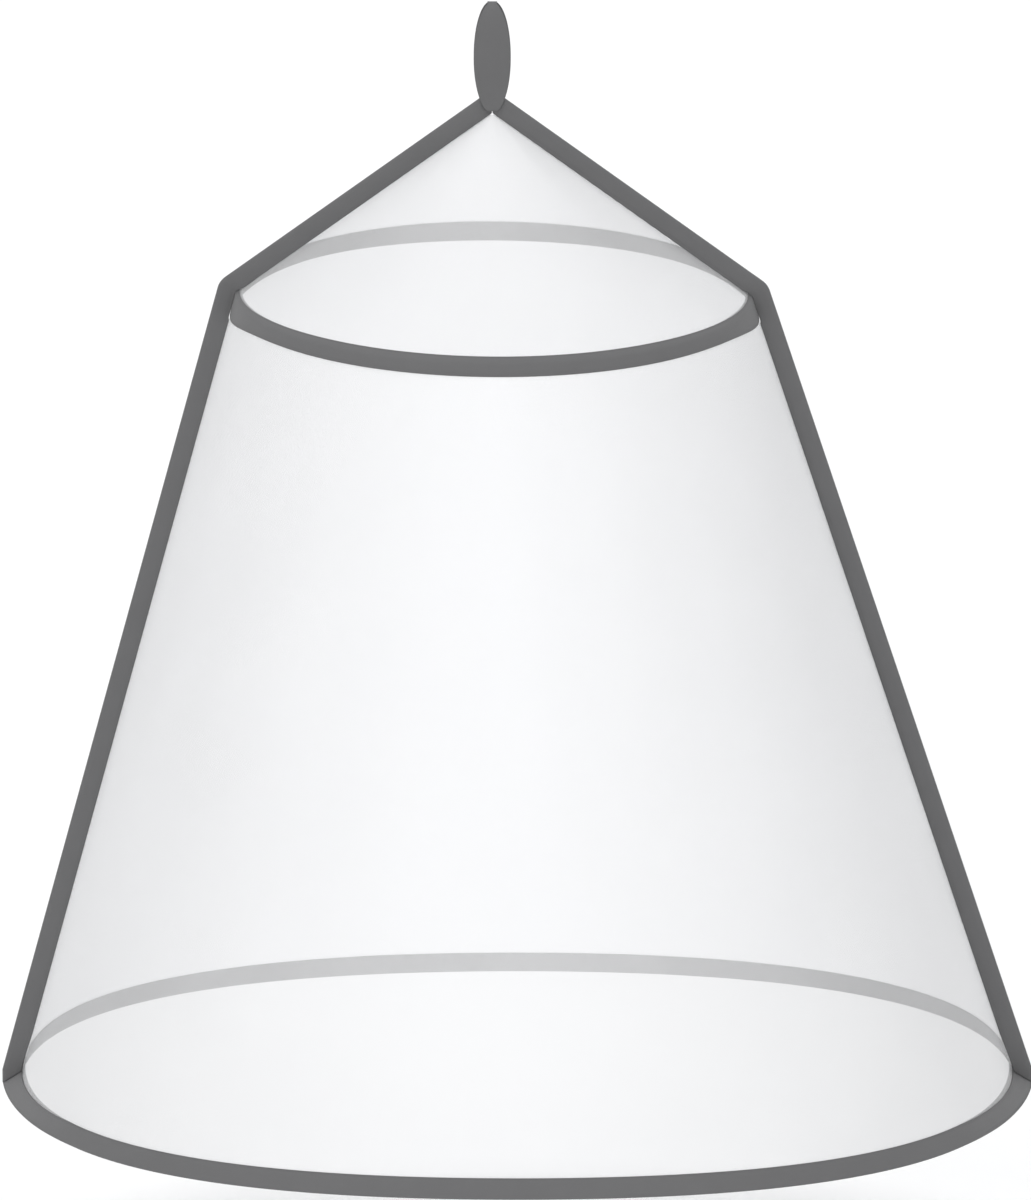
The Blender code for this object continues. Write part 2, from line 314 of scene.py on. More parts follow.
def build_hexagonal_net():
    sizes = [("Hole Step", FLOAT, 0.0014), ("Thread Half", FLOAT, 0.14), ("Fuzz", FLOAT, 0.05)]
    tree, given, out = new_group(
        "hexagonal net",
        "ShaderNodeTree",
        [("Vector", POINT, None), *sizes],
        [("Thread", FLOAT), ("Height", FLOAT)],
    )
    step = (1.0, math.sqrt(3.0), 1.0)
    half = (0.5, math.sqrt(3.0) / 2, 0.0)
    holes = maths(tree, "DIVIDE", 1.0, given["Hole Step"])
    place = scaled(tree, given["Vector"], holes)
    nearest = []
    for shift in ((0.0, 0.0, 0.0), half):
        moved = vectors(tree, "SUBTRACT", place, shift)
        cell = vectors(tree, "SNAP", vectors(tree, "ADD", moved, half), step)
        nearest.append(vectors(tree, "MULTIPLY", vectors(tree, "SUBTRACT", moved, cell), (1.0, 1.0, 0.0)))
    first, second = nearest
    closer = maths(tree, "LESS_THAN", vectors(tree, "LENGTH", first), vectors(tree, "LENGTH", second))
    pick = scaled(tree, vectors(tree, "SUBTRACT", first, second), closer)
    local = vectors(tree, "ABSOLUTE", vectors(tree, "ADD", second, pick))
    slanted = vectors(tree, "DOT_PRODUCT", local, half)
    straight = vectors(tree, "DOT_PRODUCT", local, (1.0, 0.0, 0.0))
    side = minus(tree, 0.5, maths(tree, "MAXIMUM", slanted, straight))
    inner = given["Thread Half"]
    outer = plus(tree, inner, given["Fuzz"])
    thread = ranged(tree, side, 1.0, 0.0, inner, outer, interpolation_type="SMOOTHSTEP")
    round_top = minus(tree, 1.0, maths(tree, "POWER", maths(tree, "DIVIDE", side, outer), 2.0))
    tree.links.new(thread, out["Thread"])
    tree.links.new(maths(tree, "MAXIMUM", round_top, 0.0), out["Height"])
    return tree


HEXAGONAL_NET = build_hexagonal_net()
print("group:", HEXAGONAL_NET.name, len(HEXAGONAL_NET.nodes), "nodes")

# %% [markdown]
# ## Finish 3: woven tape
#
# The grey tape is a plain weave, in which each yarn shows as a small raised float, set like
# bricks. The same group serves the seam tapes and the heavier strip of the loop, with other yarn
# sizes.

# %% Shader group: woven tape


def build_woven_tape():
    tree, given, out = new_group(
        "woven tape",
        "ShaderNodeTree",
        [("Vector", POINT, None), ("Float Length", FLOAT, 0.0012), ("Yarn Width", FLOAT, 0.0006)],
        [("Height", FLOAT)],
    )
    place = add(tree, "ShaderNodeSeparateXYZ", {"Vector": given["Vector"]})
    row = maths(tree, "DIVIDE", place.outputs["Y"], given["Yarn Width"])
    odd = times(tree, maths(tree, "FLOORED_MODULO", maths(tree, "FLOOR", row), 2.0), 0.5)
    floats = maths(tree, "DIVIDE", place.outputs["X"], given["Float Length"])
    along = plus(tree, floats, odd)
    dome = maths(tree, "ABSOLUTE", maths(tree, "SINE", times(tree, along, math.pi)))
    ridge = maths(tree, "ABSOLUTE", maths(tree, "SINE", times(tree, row, math.pi)))
    height = maths(tree, "POWER", times(tree, dome, ridge), 0.6)
    tree.links.new(height, out["Height"])
    return tree


WOVEN_TAPE = build_woven_tape()
print("group:", WOVEN_TAPE.name, len(WOVEN_TAPE.nodes), "nodes")

# %% [markdown]
# ## The net's material
#
# White polyester net: matt thread, with holes that are really open. The thread mask drives the
# Alpha, so a seam behind the net shows through it as a paler band.
#
# Two things are added to the cool white. Seen from outside, the colour is darkened by painted
# shade, the more so at a slant, where threads also hide more of what is behind them. Seen from
# inside, the net glows a little with painted light, an emission of its own in the net's white,
# though it is no lamp.

# %% Helpers for materials
PATTERN = "Cloth"  # the UV map of every cloth here, in metres on its flat cut


def new_material(name, roughness, sheen):
    """A material with its node tree and its main shader."""
    made = bpy.data.materials.new(name)
    made.use_nodes = True
    shader = made.node_tree.nodes["Principled BSDF"]
    shader.inputs["Roughness"].default_value = roughness
    shader.inputs["Sheen Weight"].default_value = sheen
    shader.inputs["Sheen Roughness"].default_value = 0.5
    shader.inputs["Specular IOR Level"].default_value = 0.3
    return made, made.node_tree, shader


def object_place(tree):
    """A point's place in its object, in metres."""
    return add(tree, "ShaderNodeTexCoord").outputs["Object"]


def uneven(tree, spot_size, amount):
    """The uneven cloth's factor, with spots of a size in metres."""
    inputs = {"Vector": object_place(tree), "Spot Size": spot_size, "Amount": amount}
    return add(tree, "ShaderNodeGroup", inputs, node_tree=UNEVEN).outputs["Factor"]


def patterned(tree, group, **inputs):
    """A pattern on the flat cut; its inputs go by name, with an underscore for each space."""
    named = {name.replace("_", " "): value for name, value in inputs.items()}
    named["Vector"] = add(tree, "ShaderNodeUVMap", uv_map=PATTERN).outputs["UV"]
    return add(tree, "ShaderNodeGroup", named, node_tree=group).outputs


def tinted(tree, shader, colour, factor):
    """Feeds Base Color with a colour times a number."""
    tree.links.new(scaled(tree, colour, factor), shader.inputs["Base Color"])


def bumped(tree, shader, height, distance, strength):
    """Feeds Normal with a bump of so many metres, times its strength."""
    sizes = {"Distance": distance, "Strength": strength}
    bump = add(tree, "ShaderNodeBump", {"Height": height, **sizes})
    tree.links.new(bump.outputs["Normal"], shader.inputs["Normal"])


# %% Material: white net
NET_WHITE = (0.975, 0.978, 0.988)
NET_STEP = 0.0012  # from one hole to the next
NET_THREAD = 0.170  # half a thread's width, in steps
SLANT_COVER = 0.08  # how much wider the threads look at a slant
OUTER_PAINTED_SHADE = 0.22  # painted shade on the outer face, seen square on
SLANT_PAINTED_SHADE = 0.16  # and more painted shade on the outer face at a slant
INNER_PAINTED_GLOW = 0.11  # painted light: the inner face glows by emission, though it is no lamp
LEAST_SQUARE_ON = 0.4  # beyond this slant the threads look no wider and take no more painted shade


def white_net():
    made, tree, shader = new_material("white net", roughness=0.6, sheen=0.0)
    shader.inputs["Specular IOR Level"].default_value = 0.8
    shader.inputs["Emission Strength"].default_value = INNER_PAINTED_GLOW
    inner_face = add(tree, "ShaderNodeNewGeometry").outputs["Backfacing"]
    outer_face = minus(tree, 1.0, inner_face)
    facing = add(tree, "ShaderNodeLayerWeight", {"Blend": 0.5}).outputs["Facing"]
    square_on = maths(tree, "MAXIMUM", minus(tree, 1.0, facing), LEAST_SQUARE_ON)
    longer_way = minus(tree, maths(tree, "DIVIDE", 1.0, square_on), 1.0)
    wider = times(tree, longer_way, outer_face, SLANT_COVER)
    density = uneven(tree, spot_size=0.22, amount=0.16)
    half = times(tree, density, NET_THREAD, plus(tree, wider, 1.0))
    net = patterned(tree, HEXAGONAL_NET, Hole_Step=NET_STEP, Thread_Half=half, Fuzz=0.04)
    tree.links.new(net["Thread"], shader.inputs["Alpha"])
    # painted shade: the outer face's colour is darkened, the more so at a slant
    slant = maths(tree, "SQRT", minus(tree, 1.0, maths(tree, "POWER", square_on, 2.0)))
    grey = plus(tree, times(tree, slant, SLANT_PAINTED_SHADE), OUTER_PAINTED_SHADE)
    painted_shading = minus(tree, 1.0, times(tree, grey, outer_face))
    shade = uneven(tree, spot_size=0.5, amount=0.015)
    tinted(tree, shader, NET_WHITE, times(tree, shade, painted_shading))
    # painted light: the inner face glows in the net's white
    tree.links.new(scaled(tree, NET_WHITE, inner_face), shader.inputs["Emission Color"])
    bumped(tree, shader, net["Height"], distance=0.0001, strength=0.5)
    return made


WHITE_NET = white_net()
print("material:", WHITE_NET.name)

# %% [markdown]
# ## The tapes' material
#
# Mid-grey polyester tape, matt, with a fine plain weave, whose colour also carries painted shade
# between the yarns and a painted highlight on their tops. Its selvedges are a little darker, since
# the yarn turns back there, and each tape stores how far a point is from its edge so that the
# shader can find them. The loop is the same cloth in a heavier weave.

# %% Materials: grey tape, loop strip, thread
TAPE_GREY = (0.131, 0.131, 0.133)
THREAD_GREY = tuple(value * 1.15 for value in TAPE_GREY)
EDGE = "edge"  # distance from a tape's nearest edge, in metres
SELVEDGE = 0.0015  # width of the darker edge
SELVEDGE_SHADE = 0.86
WEAVE_PAINTED_SHADE_AND_HIGHLIGHT = (0.88, 1.04)  # painted shade between the yarns and painted highlight on top of them


def grey_tape(name, float_length, yarn_width):
    made, tree, shader = new_material(name, roughness=0.85, sheen=0.12)
    weave = patterned(tree, WOVEN_TAPE, Float_Length=float_length, Yarn_Width=yarn_width)
    from_edge = add(tree, "ShaderNodeAttribute", attribute_name=EDGE).outputs["Fac"]
    selvedge = ranged(tree, from_edge, SELVEDGE_SHADE, 1.0, from_max=SELVEDGE)
    # painted shade in the weave's hollows and painted highlight on its floats
    yarn = ranged(tree, weave["Height"], *WEAVE_PAINTED_SHADE_AND_HIGHLIGHT)
    dye = uneven(tree, spot_size=0.06, amount=0.05)
    tinted(tree, shader, TAPE_GREY, times(tree, dye, selvedge, yarn))
    bumped(tree, shader, weave["Height"], distance=0.00012, strength=0.6)
    return made


SEAM_TAPE = grey_tape("grey seam tape", float_length=0.0012, yarn_width=0.0006)
LOOP_STRIP = grey_tape("grey loop strip", float_length=0.0022, yarn_width=0.0011)


def grey_thread():
    made, tree, shader = new_material("grey sewing thread", roughness=0.6, sheen=0.0)
    tinted(tree, shader, THREAD_GREY, uneven(tree, spot_size=0.004, amount=0.12))
    return made


THREAD = grey_thread()
print("materials:", SEAM_TAPE.name, "|", LOOP_STRIP.name, "|", THREAD.name)

# %% [markdown]
# ## The hoop's material
#
# The rod is steel under white powder coat, which has a faint orange-peel surface. It lies in its
# sleeve and hardly shows, so its CAD shape stays and only takes this finish.

# %% Material: white painted steel
PAINT_WHITE = (0.70, 0.70, 0.69)


def painted_steel():
    made, tree, shader = new_material("white painted steel", roughness=0.38, sheen=0.0)
    tinted(tree, shader, PAINT_WHITE, uneven(tree, spot_size=0.03, amount=0.04))
    sizes = {"Scale": 900.0, "Detail": 2.0}
    peel = add(tree, "ShaderNodeTexNoise", {"Vector": object_place(tree), **sizes})
    bumped(tree, shader, peel.outputs[0], distance=0.0001, strength=0.2)
    return made


PAINT = painted_steel()
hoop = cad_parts["hoop"]
hoop.data.materials.clear()
hoop.data.materials.append(PAINT)
print("material:", PAINT.name)

# %% [markdown]
# ## The net's shape, as a rule
#
# Each panel is half of a cone that is stretched between two rings, so its shape is a rule, and
# Geometry Nodes can make it: a flat grid whose columns become angles and whose rows become shares
# of the way down. The outermost column on each side is the seam allowance, which turns outward
# into the side tape. A little noise pushes the middle of the cloth in and out, because net under
# its own weight is never quite straight; it dies away at the rings and the seams, where the cloth
# is held.
#
# The tree also lays the panel out flat, as its maker would cut it, and stores that as a UV map.

# %% Geometry Nodes: net panel
RING_PARTS = ("Centre", "Radius", "Depth", "Height", "Tilt", "Roll", "Fullness")
PANEL_SOCKETS = (
    [("Upper " + part, FLOAT, 0.0) for part in RING_PARTS]
    + [("Lower " + part, FLOAT, 0.0) for part in RING_PARTS]
    + [("First Angle", FLOAT, 0.0), ("Last Angle", FLOAT, 1.0)]
    + [("Columns", WHOLE, 100), ("Rows", WHOLE, 50)]
    + [("Seam Allowance", FLOAT, 0.03), ("Seam Start", FLOAT, 0.0), ("Seam End", FLOAT, 1.0)]
    + [("Wave Depth", FLOAT, 0.002), ("Waves Round", FLOAT, 16.0), ("Wave Seed", FLOAT, 0.0)]
    + [("Grain", FLOAT, 0.0), ("Net", FINISH, None)]
)
WAVE_DRIFT = 0.7  # how much a wave changes on its way down
HELD_BY_SEAM = 0.12  # how far from a side seam it holds the net still, as a sine
HELD_BY_RINGS = 0.7  # a power: the lower, the nearer the rings the waves reach


def turned(tree, vector, axis, angle):
    """A vector turned about one axis."""
    inputs = {"Vector": vector, "Angle": angle}
    turn = add(tree, "ShaderNodeVectorRotate", inputs, rotation_type=axis + "_AXIS")
    return turn.outputs["Vector"]


def ring_nodes(tree, given, ring, cosine, sine):
    """The point of a ring at an angle, as a socket."""
    part = {name: given[f"{ring} {name}"] for name in RING_PARTS}
    double = times(tree, cosine, sine, 2.0)
    swing = plus(tree, times(tree, maths(tree, "POWER", double, 2.0), part["Fullness"]), 1.0)
    across = times(tree, part["Radius"], cosine, swing)
    deep = times(tree, part["Depth"], sine, swing)
    flat = vector_of(tree, X=across, Y=deep)
    leaning = turned(tree, turned(tree, flat, "X", part["Tilt"]), "Y", part["Roll"])
    return vectors(tree, "ADD", leaning, vector_of(tree, X=part["Centre"], Z=part["Height"]))


def flat_cut(tree, given, angle, share, beyond):
    """The panel's flat cut in metres: an arc round the point where the cone would end."""
    widening = minus(tree, given["Lower Radius"], given["Upper Radius"])
    falling = minus(tree, given["Upper Height"], given["Lower Height"])
    squares = [maths(tree, "POWER", length, 2.0) for length in (widening, falling)]
    slant = maths(tree, "SQRT", plus(tree, *squares))
    fan = maths(tree, "DIVIDE", widening, slant)
    start = maths(tree, "DIVIDE", given["Upper Radius"], fan)
    reach = plus(tree, start, times(tree, share, slant))
    both_angles = plus(tree, given["First Angle"], given["Last Angle"])
    turn = times(tree, minus(tree, angle, times(tree, both_angles, 0.5)), fan)
    across = times(tree, reach, maths(tree, "SINE", turn))
    down = times(tree, reach, maths(tree, "COSINE", turn))
    return vector_of(tree, X=plus(tree, across, beyond), Y=times(tree, down, -1.0))


def wave_offset(tree, given, cosine, sine, share):
    """How far the net's soft waves push it out, as a socket."""
    around = maths(tree, "DIVIDE", given["Waves Round"], math.tau)
    x, y = times(tree, cosine, around), times(tree, sine, around)
    z = plus(tree, times(tree, share, WAVE_DRIFT), given["Wave Seed"])
    place = vector_of(tree, X=x, Y=y, Z=z)
    noise = add(tree, "ShaderNodeTexNoise", {"Vector": place, "Scale": 1.0, "Detail": 0.0}).outputs[0]
    swing = times(tree, minus(tree, noise, 0.5), 2.0)
    held = maths(tree, "SINE", times(tree, share, math.pi))
    seam = ranged(tree, maths(tree, "ABSOLUTE", sine), 0.0, 1.0, from_max=HELD_BY_SEAM)
    free = times(tree, maths(tree, "POWER", held, HELD_BY_RINGS), seam)
    return times(tree, swing, free, given["Wave Depth"])


def cloth_normal(tree, down, cosine, sine):
    """The cloth's outward direction: across the way down and the way round."""
    around = vector_of(tree, X=times(tree, sine, -1.0), Y=cosine)
    return vectors(tree, "NORMALIZE", vectors(tree, "CROSS_PRODUCT", down, around))


def build_net_panel():
    tree, given, out = new_group("net panel", "GeometryNodeTree", PANEL_SOCKETS, [("Panel", SHAPE)])
    columns = given["Columns"]
    counts = {"Vertices X": plus(tree, columns, 2.0), "Vertices Y": given["Rows"]}
    grid = shape(tree, "MeshGrid", {"Size X": 1.0, "Size Y": 1.0, **counts})
    position = add(tree, "GeometryNodeInputPosition").outputs[0]
    place = add(tree, "ShaderNodeSeparateXYZ", {"Vector": position}).outputs
    last = minus(tree, columns, 1.0)
    step = times(tree, plus(tree, place["X"], 0.5), plus(tree, columns, 1.0))
    column = minus(tree, step, 1.0)
    share = minus(tree, 0.5, place["Y"])
    right = maths(tree, "MAXIMUM", minus(tree, column, last), 0.0)
    left = maths(tree, "MAXIMUM", times(tree, column, -1.0), 0.0)
    turned_out = plus(tree, right, left)
    kept = minus(tree, plus(tree, column, left), right)
    angle = ranged(tree, kept, given["First Angle"], given["Last Angle"], from_max=last)
    cosine, sine = maths(tree, "COSINE", angle), maths(tree, "SINE", angle)
    upper = ring_nodes(tree, given, "Upper", cosine, sine)
    lower = ring_nodes(tree, given, "Lower", cosine, sine)
    down = vectors(tree, "SUBTRACT", lower, upper)
    on_cone = vectors(tree, "ADD", upper, scaled(tree, down, share))
    ahead = vector_of(tree, Y=maths(tree, "SIGN", cosine))
    away = vectors(tree, "NORMALIZE", vectors(tree, "CROSS_PRODUCT", down, ahead))
    allowance = times(tree, turned_out, given["Seam Allowance"])
    beyond = times(tree, minus(tree, right, left), given["Seam Allowance"])
    flat = turned(tree, flat_cut(tree, given, angle, share, beyond), "Z", given["Grain"])
    pattern = {"Geometry": grid, "Name": PATTERN, "Value": flat}
    cut = shape(tree, "StoreNamedAttribute", pattern, data_type="FLOAT2", domain="CORNER")
    outside = maths(tree, "LESS_THAN", share, given["Seam Start"])
    below = maths(tree, "GREATER_THAN", share, given["Seam End"])
    loose = times(tree, turned_out, maths(tree, "MAXIMUM", outside, below))
    unsewn = maths(tree, "GREATER_THAN", loose, 0.5)
    trimmed = shape(tree, "DeleteGeometry", {"Geometry": cut, "Selection": unsewn})
    offset = wave_offset(tree, given, cosine, sine, share)
    moves = {
        "Position": vectors(tree, "ADD", on_cone, scaled(tree, away, allowance)),
        "Offset": scaled(tree, cloth_normal(tree, down, cosine, sine), offset),
    }
    spread = shape(tree, "SetPosition", {"Geometry": trimmed, **moves})
    finish_shape(tree, spread, given["Net"], out["Panel"])
    return tree


NET_PANEL = build_net_panel()
print("tree:", NET_PANEL.name, len(NET_PANEL.nodes), "nodes")

# %% [markdown]
# ## Running a tree
#
# A tree's inputs are set by identifier before the object is first looked at. Its result is then
# read back as a plain mesh, so that the finished piece carries no modifier.

# %% Helpers that run a tree


def new_piece(name, data=None):
    """A new object in the scene, with an empty mesh if it is given nothing."""
    obj = bpy.data.objects.new(name, data or bpy.data.meshes.new(name))
    bpy.context.scene.collection.objects.link(obj)
    return obj


def run_tree(obj, tree, **inputs):
    """Gives an object the plain mesh that a tree makes of it."""
    modifier = obj.modifiers.new("Rule", "NODES")
    modifier.node_group = tree
    for item in tree.interface.items_tree:
        key = item.name.replace(" ", "_")
        if key in inputs:
            modifier[item.identifier] = inputs[key]
    graph = bpy.context.evaluated_depsgraph_get()
    made = obj.evaluated_get(graph)
    mesh = bpy.data.meshes.new_from_object(made, preserve_all_data_layers=True, depsgraph=graph)
    obj.modifiers.clear()
    obj.data = mesh
    mesh.name = obj.name
    return obj


def cut_area(piece):
    """The cloth that a piece takes; a tape's thickness is still only a modifier."""
    return sum(face.area for face in piece.data.polygons)


def ring_inputs(upper, lower):
    """The two rings' sizes under the tree's input names."""
    return {
        f"{level}_{part}": float(value)
        for level, ring in (("Upper", upper), ("Lower", lower))
        for part, value in zip(RING_PARTS, ring)
    }


# %% [markdown]
# ## The four net panels
#
# The roof and the skirt are each cut as a front and a back half. Their edges meet at the sides,
# where both turn outward, a hair apart. Two equal grids of holes that hang one behind the other
# shimmer in stripes, so every half is cut with the net turned 15 degrees the same way. Seen
# through each other from any side, the near net and the far one then cross at 30 degrees, the
# most that hexagons can, and the stripes do not form.

# %% Roof and skirt
GRAIN_TURN = math.radians(15)
SEAM_HALF = 0.00095  # from the seam's plane to the middle of a net
SEAM_ALLOWANCE = 0.030
PANEL_COLUMNS = 121
FRONT, BACK = -1, 1
Panel = namedtuple("Panel", "upper lower rows seam_start seam_end wave_depth waves_round wave_seed")
ROOF = Panel(APEX, SHOULDER, 31, 0.0, 0.965, 0.003, 14.0, 3.0)
SKIRT = Panel(SHOULDER, HEM, 61, 0.02, 0.974, 0.009, 18.0, 7.0)


def net_half(name, panel, side):
    """The front or back half of the roof or the skirt."""
    depth = (panel.upper.depth + panel.lower.depth) / 2
    edge = math.asin(SEAM_HALF / depth)
    start = 0.0 if side == BACK else math.pi
    return run_tree(
        new_piece(name),
        NET_PANEL,
        **ring_inputs(panel.upper, panel.lower),
        First_Angle=start + edge,
        Last_Angle=start + math.pi - edge,
        Columns=PANEL_COLUMNS,
        Rows=panel.rows,
        Seam_Allowance=SEAM_ALLOWANCE,
        Seam_Start=panel.seam_start,
        Seam_End=panel.seam_end,
        Wave_Depth=panel.wave_depth,
        Waves_Round=panel.waves_round,
        Wave_Seed=panel.wave_seed + side,
        Grain=GRAIN_TURN,
        Net=WHITE_NET,
    )


roof_front = net_half("roof_net_front", ROOF, FRONT)
roof_back = net_half("roof_net_back", ROOF, BACK)
skirt_front = net_half("skirt_net_front", SKIRT, FRONT)
skirt_back = net_half("skirt_net_back", SKIRT, BACK)
for piece in (roof_front, roof_back, skirt_front, skirt_back):
    print(piece.name, len(piece.data.polygons), "faces", round(cut_area(piece), 3), "m2")

# %% [markdown]
# ## How a sewn tape lies
#
# A tape is pulled tight to the cloth along its stitches, its selvedge turns up a little beyond
# them, and between the two rows it swells. That soft profile is what catches the light, so every
# tape here takes it from one function.

# %% The profile of a sewn tape
TAPE = 0.0010  # thickness of the woven tape
EDGE_LIFT = 0.0011  # height of a tape's middle above the net, at its edge
STITCH_LIFT = 0.0008  # at its stitches
FULL_LIFT = 0.0018  # and between them
STITCH_INSET = 0.0032  # from a tape's edge to its stitches
SWELL = 0.0060  # from the stitches to where the tape is at full height
NEAR_EDGE = (0.0, 0.0016, 0.0032, 0.0048, 0.0064, 0.0092)
NARROWEST = 0.0115  # below this width the steps are drawn together


def lift(from_edge):
    """How far a tape stands off the net, at a distance from its edge."""
    if from_edge < STITCH_INSET:
        return EDGE_LIFT + (STITCH_LIFT - EDGE_LIFT) * from_edge / STITCH_INSET
    swell = min(1.0, (from_edge - STITCH_INSET) / SWELL)
    return STITCH_LIFT + (FULL_LIFT - STITCH_LIFT) * swell * swell * (3.0 - 2.0 * swell)


def from_edge_steps(width, steps):
    """Distances from a tape's edge, close together at the stitches, up to a width."""
    squeeze = min(1.0, width / NARROWEST)
    start = NEAR_EDGE[-1] * squeeze
    rest = [start + (width - start) * step / steps for step in range(1, steps + 1)]
    return [*[distance * squeeze for distance in NEAR_EDGE], *rest]


print("lifts in mm:", [round(lift(d) * 1000, 2) for d in from_edge_steps(0.02, 2)])

# %% [markdown]
# ## Turning rows of points into cloth
#
# Each tape is a strip of quads. The helper measures the strip as it lays it, so the UV map is in
# true metres along and across, and every vertex knows how far it is from the nearer edge. Solidify
# then gives the strip its thickness on both sides of that surface.

# %% Helper: a strip of tape
RING_STEPS = 240
FOLD_TURNS = [math.pi * step / 6 for step in range(1, 6)]  # round a fold, without its ends


def running_lengths(points):
    """How far along a line each of its points lies."""
    total = [0.0]
    for first, second in zip(points, points[1:]):
        total.append(total[-1] + (second - first).length)
    return total


def tape_strip(name, rows, closed, finish, thickness=TAPE):
    """A strip through rows of points, which run along the tape, side by side across it."""
    middle = rows[len(rows) // 2]
    along = running_lengths([*middle, middle[0]])
    across = [running_lengths(column) for column in zip(*rows)]
    columns = len(rows[0])
    mesh = bpy.data.meshes.new(name)
    faces = []
    corners = []
    for row in range(len(rows) - 1):
        for column in range(columns if closed else columns - 1):
            after = (column + 1) % columns
            quad = ((row, column), (row + 1, column), (row + 1, after), (row, after))
            faces.append([level * columns + place for level, place in quad])
            lengths = (along[column], along[column], along[column + 1], along[column + 1])
            corners += [(length, across[place][level]) for length, (level, place) in zip(lengths, quad)]
    mesh.from_pydata([point for row in rows for point in row], [], faces)
    pattern = mesh.uv_layers.new(name=PATTERN)
    pattern.data.foreach_set("uv", [value for corner in corners for value in corner])
    edge = mesh.attributes.new(EDGE, "FLOAT", "POINT")
    reach = [min(line[row], line[-1] - line[row]) for row in range(len(rows)) for line in across]
    edge.data.foreach_set("value", reach)
    mesh.materials.append(finish)
    mesh.shade_smooth()
    obj = new_piece(name, mesh)
    shell = obj.modifiers.new("Thickness", "SOLIDIFY")
    shell.thickness = thickness
    shell.offset = 0.0
    shell.use_even_offset = True
    shell.use_quality_normals = True
    return obj


def lengthwise(sections):
    """Cross-sections of a tape, turned into the rows that run along it."""
    return [list(row) for row in zip(*sections)]


def ring_angles():
    return [math.tau * step / RING_STEPS for step in range(RING_STEPS)]


def tape_report(obj, width, length):
    print(obj.name, len(obj.data.polygons), "faces", round(width, 4), "x", round(length, 3), "m")


# %% [markdown]
# ## The shoulder tape
#
# It covers the seam between roof and skirt from outside and bends round the hoop's corner. The
# bend is a Bezier arc, since cloth over a rod is rounded, never creased. Toward the side seams the
# tape sinks, most of all its lower edge, and meets the side tapes below the corner. At the back it
# is cut a little wider. Powers of sine and cosine make both changes without a corner in the edge.

# %% Shoulder tape
SHOULDER_UP = 0.0165
SHOULDER_DOWN = 0.0250
SINK_UP = 0.0100  # how much nearer the seam its upper edge lies at the side seams
SLEEVE_SINK_UP = 0.0060  # the same for the hoop's sleeve
SINK_DOWN = 0.0220  # and how much lower the lower edge of both
UP_FADE = 6  # even powers: the higher, the nearer the side seams the sink ends
FRONT_FADE, BACK_FADE = 20, 6
BACK_UP, BACK_DOWN = 0.0080, 0.0045  # how much wider the tape is cut at the back
CORNER = 0.004  # how far from the seam the tape starts to bend
BEND_PULL = 2 / 3  # how near the bend's handles come to the sharp corner
BEND_POINTS = 6


def sunk(angle, fade):
    """How far the shoulder tape has sunk, from 1 at the side seams to 0 at front and back."""
    return math.cos(angle) ** fade


def at_back(angle):
    """From 0 at the side seams, and all along the front, to 1 at the back."""
    return max(math.sin(angle), 0.0) ** 2


def reach_up(angle, sink=SINK_UP):
    """How far above the seam the tape's upper edge lies."""
    return SHOULDER_UP - sink * sunk(angle, UP_FADE) + BACK_UP * at_back(angle)


def reach_down(angle):
    """How far below the seam its lower edge lies."""
    fade = BACK_FADE if math.sin(angle) > 0.0 else FRONT_FADE
    return SHOULDER_DOWN + SINK_DOWN * sunk(angle, fade) + BACK_DOWN * at_back(angle)


def shoulder_rows():
    """Down the roof to the corner, round it, and on down the skirt."""
    rows = []
    for angle in ring_angles():
        above, below = reach_up(angle), reach_down(angle)
        up = [roof_point(angle, above - d, lift(d)) for d in from_edge_steps(above - CORNER, 1)]
        down = [skirt_point(angle, below - d, lift(d)) for d in from_edge_steps(below - CORNER, 2)]
        roof_normal = outward(APEX, SHOULDER, angle, 1.0)
        middle = (roof_normal + outward(SHOULDER, HEM, angle, 0.0)).normalized()
        corner = ring_point(SHOULDER, angle) + middle * FULL_LIFT / middle.dot(roof_normal)
        leave, arrive = up[-1].lerp(corner, BEND_PULL), down[-1].lerp(corner, BEND_PULL)
        bend = interpolate_bezier(up[-1], leave, arrive, down[-1], BEND_POINTS)
        rows.append([*up[:-1], *bend, *reversed(down[:-1])])
    return lengthwise(rows)


shoulder_tape = tape_strip("shoulder_seam_tape", shoulder_rows(), closed=True, finish=SEAM_TAPE)
SHOULDER_ROUND = ring_length(SHOULDER)
SHOULDER_WIDTH = max(reach_up(angle) + reach_down(angle) for angle in ring_angles())
tape_report(shoulder_tape, SHOULDER_WIDTH, SHOULDER_ROUND)

# %% [markdown]
# ## The hoop's sleeve
#
# Inside the same seam a second tape hangs in a sling that carries the hoop. It is what shows of
# the shoulder on the far side, through the net. Each cross-section leaves the roof, runs straight
# to the rod, wraps round it and runs straight to the skirt.

# %% Hoop sleeve
ROD_RING = SHOULDER._replace(
    radius=rod_ring_radius, depth=rod_ring_radius, height=SHOULDER.height - ROD_TO_NET.z
)
ROD_UP = ring_lean(ROD_RING) @ Vector((0.0, 0.0, 1.0))
ROD_CLEAR = 0.0004  # between the rod and the tape round it
SLING = ROD_RADIUS + ROD_CLEAR + TAPE / 2  # from the rod's middle to the middle of the tape
SLEEVE_LEAVES = 0.0117  # how far above the seam the tape leaves the roof, at most
WRAP_STEPS = 6
SLEEVE_EDGE = NEAR_EDGE[:4]  # the steps that lie flat on the net


def sling_turns(centre, radial, ends):
    """The directions from the rod's middle at which the tape meets and leaves it."""
    turns = []
    for point, way in zip(ends, (1, -1)):
        reach = point - centre
        level = reach.dot(radial)
        height = reach.dot(ROD_UP)
        tangent = math.acos(SLING / math.hypot(level, height))
        turns.append(math.atan2(height, level) % math.tau + way * tangent)
    return turns


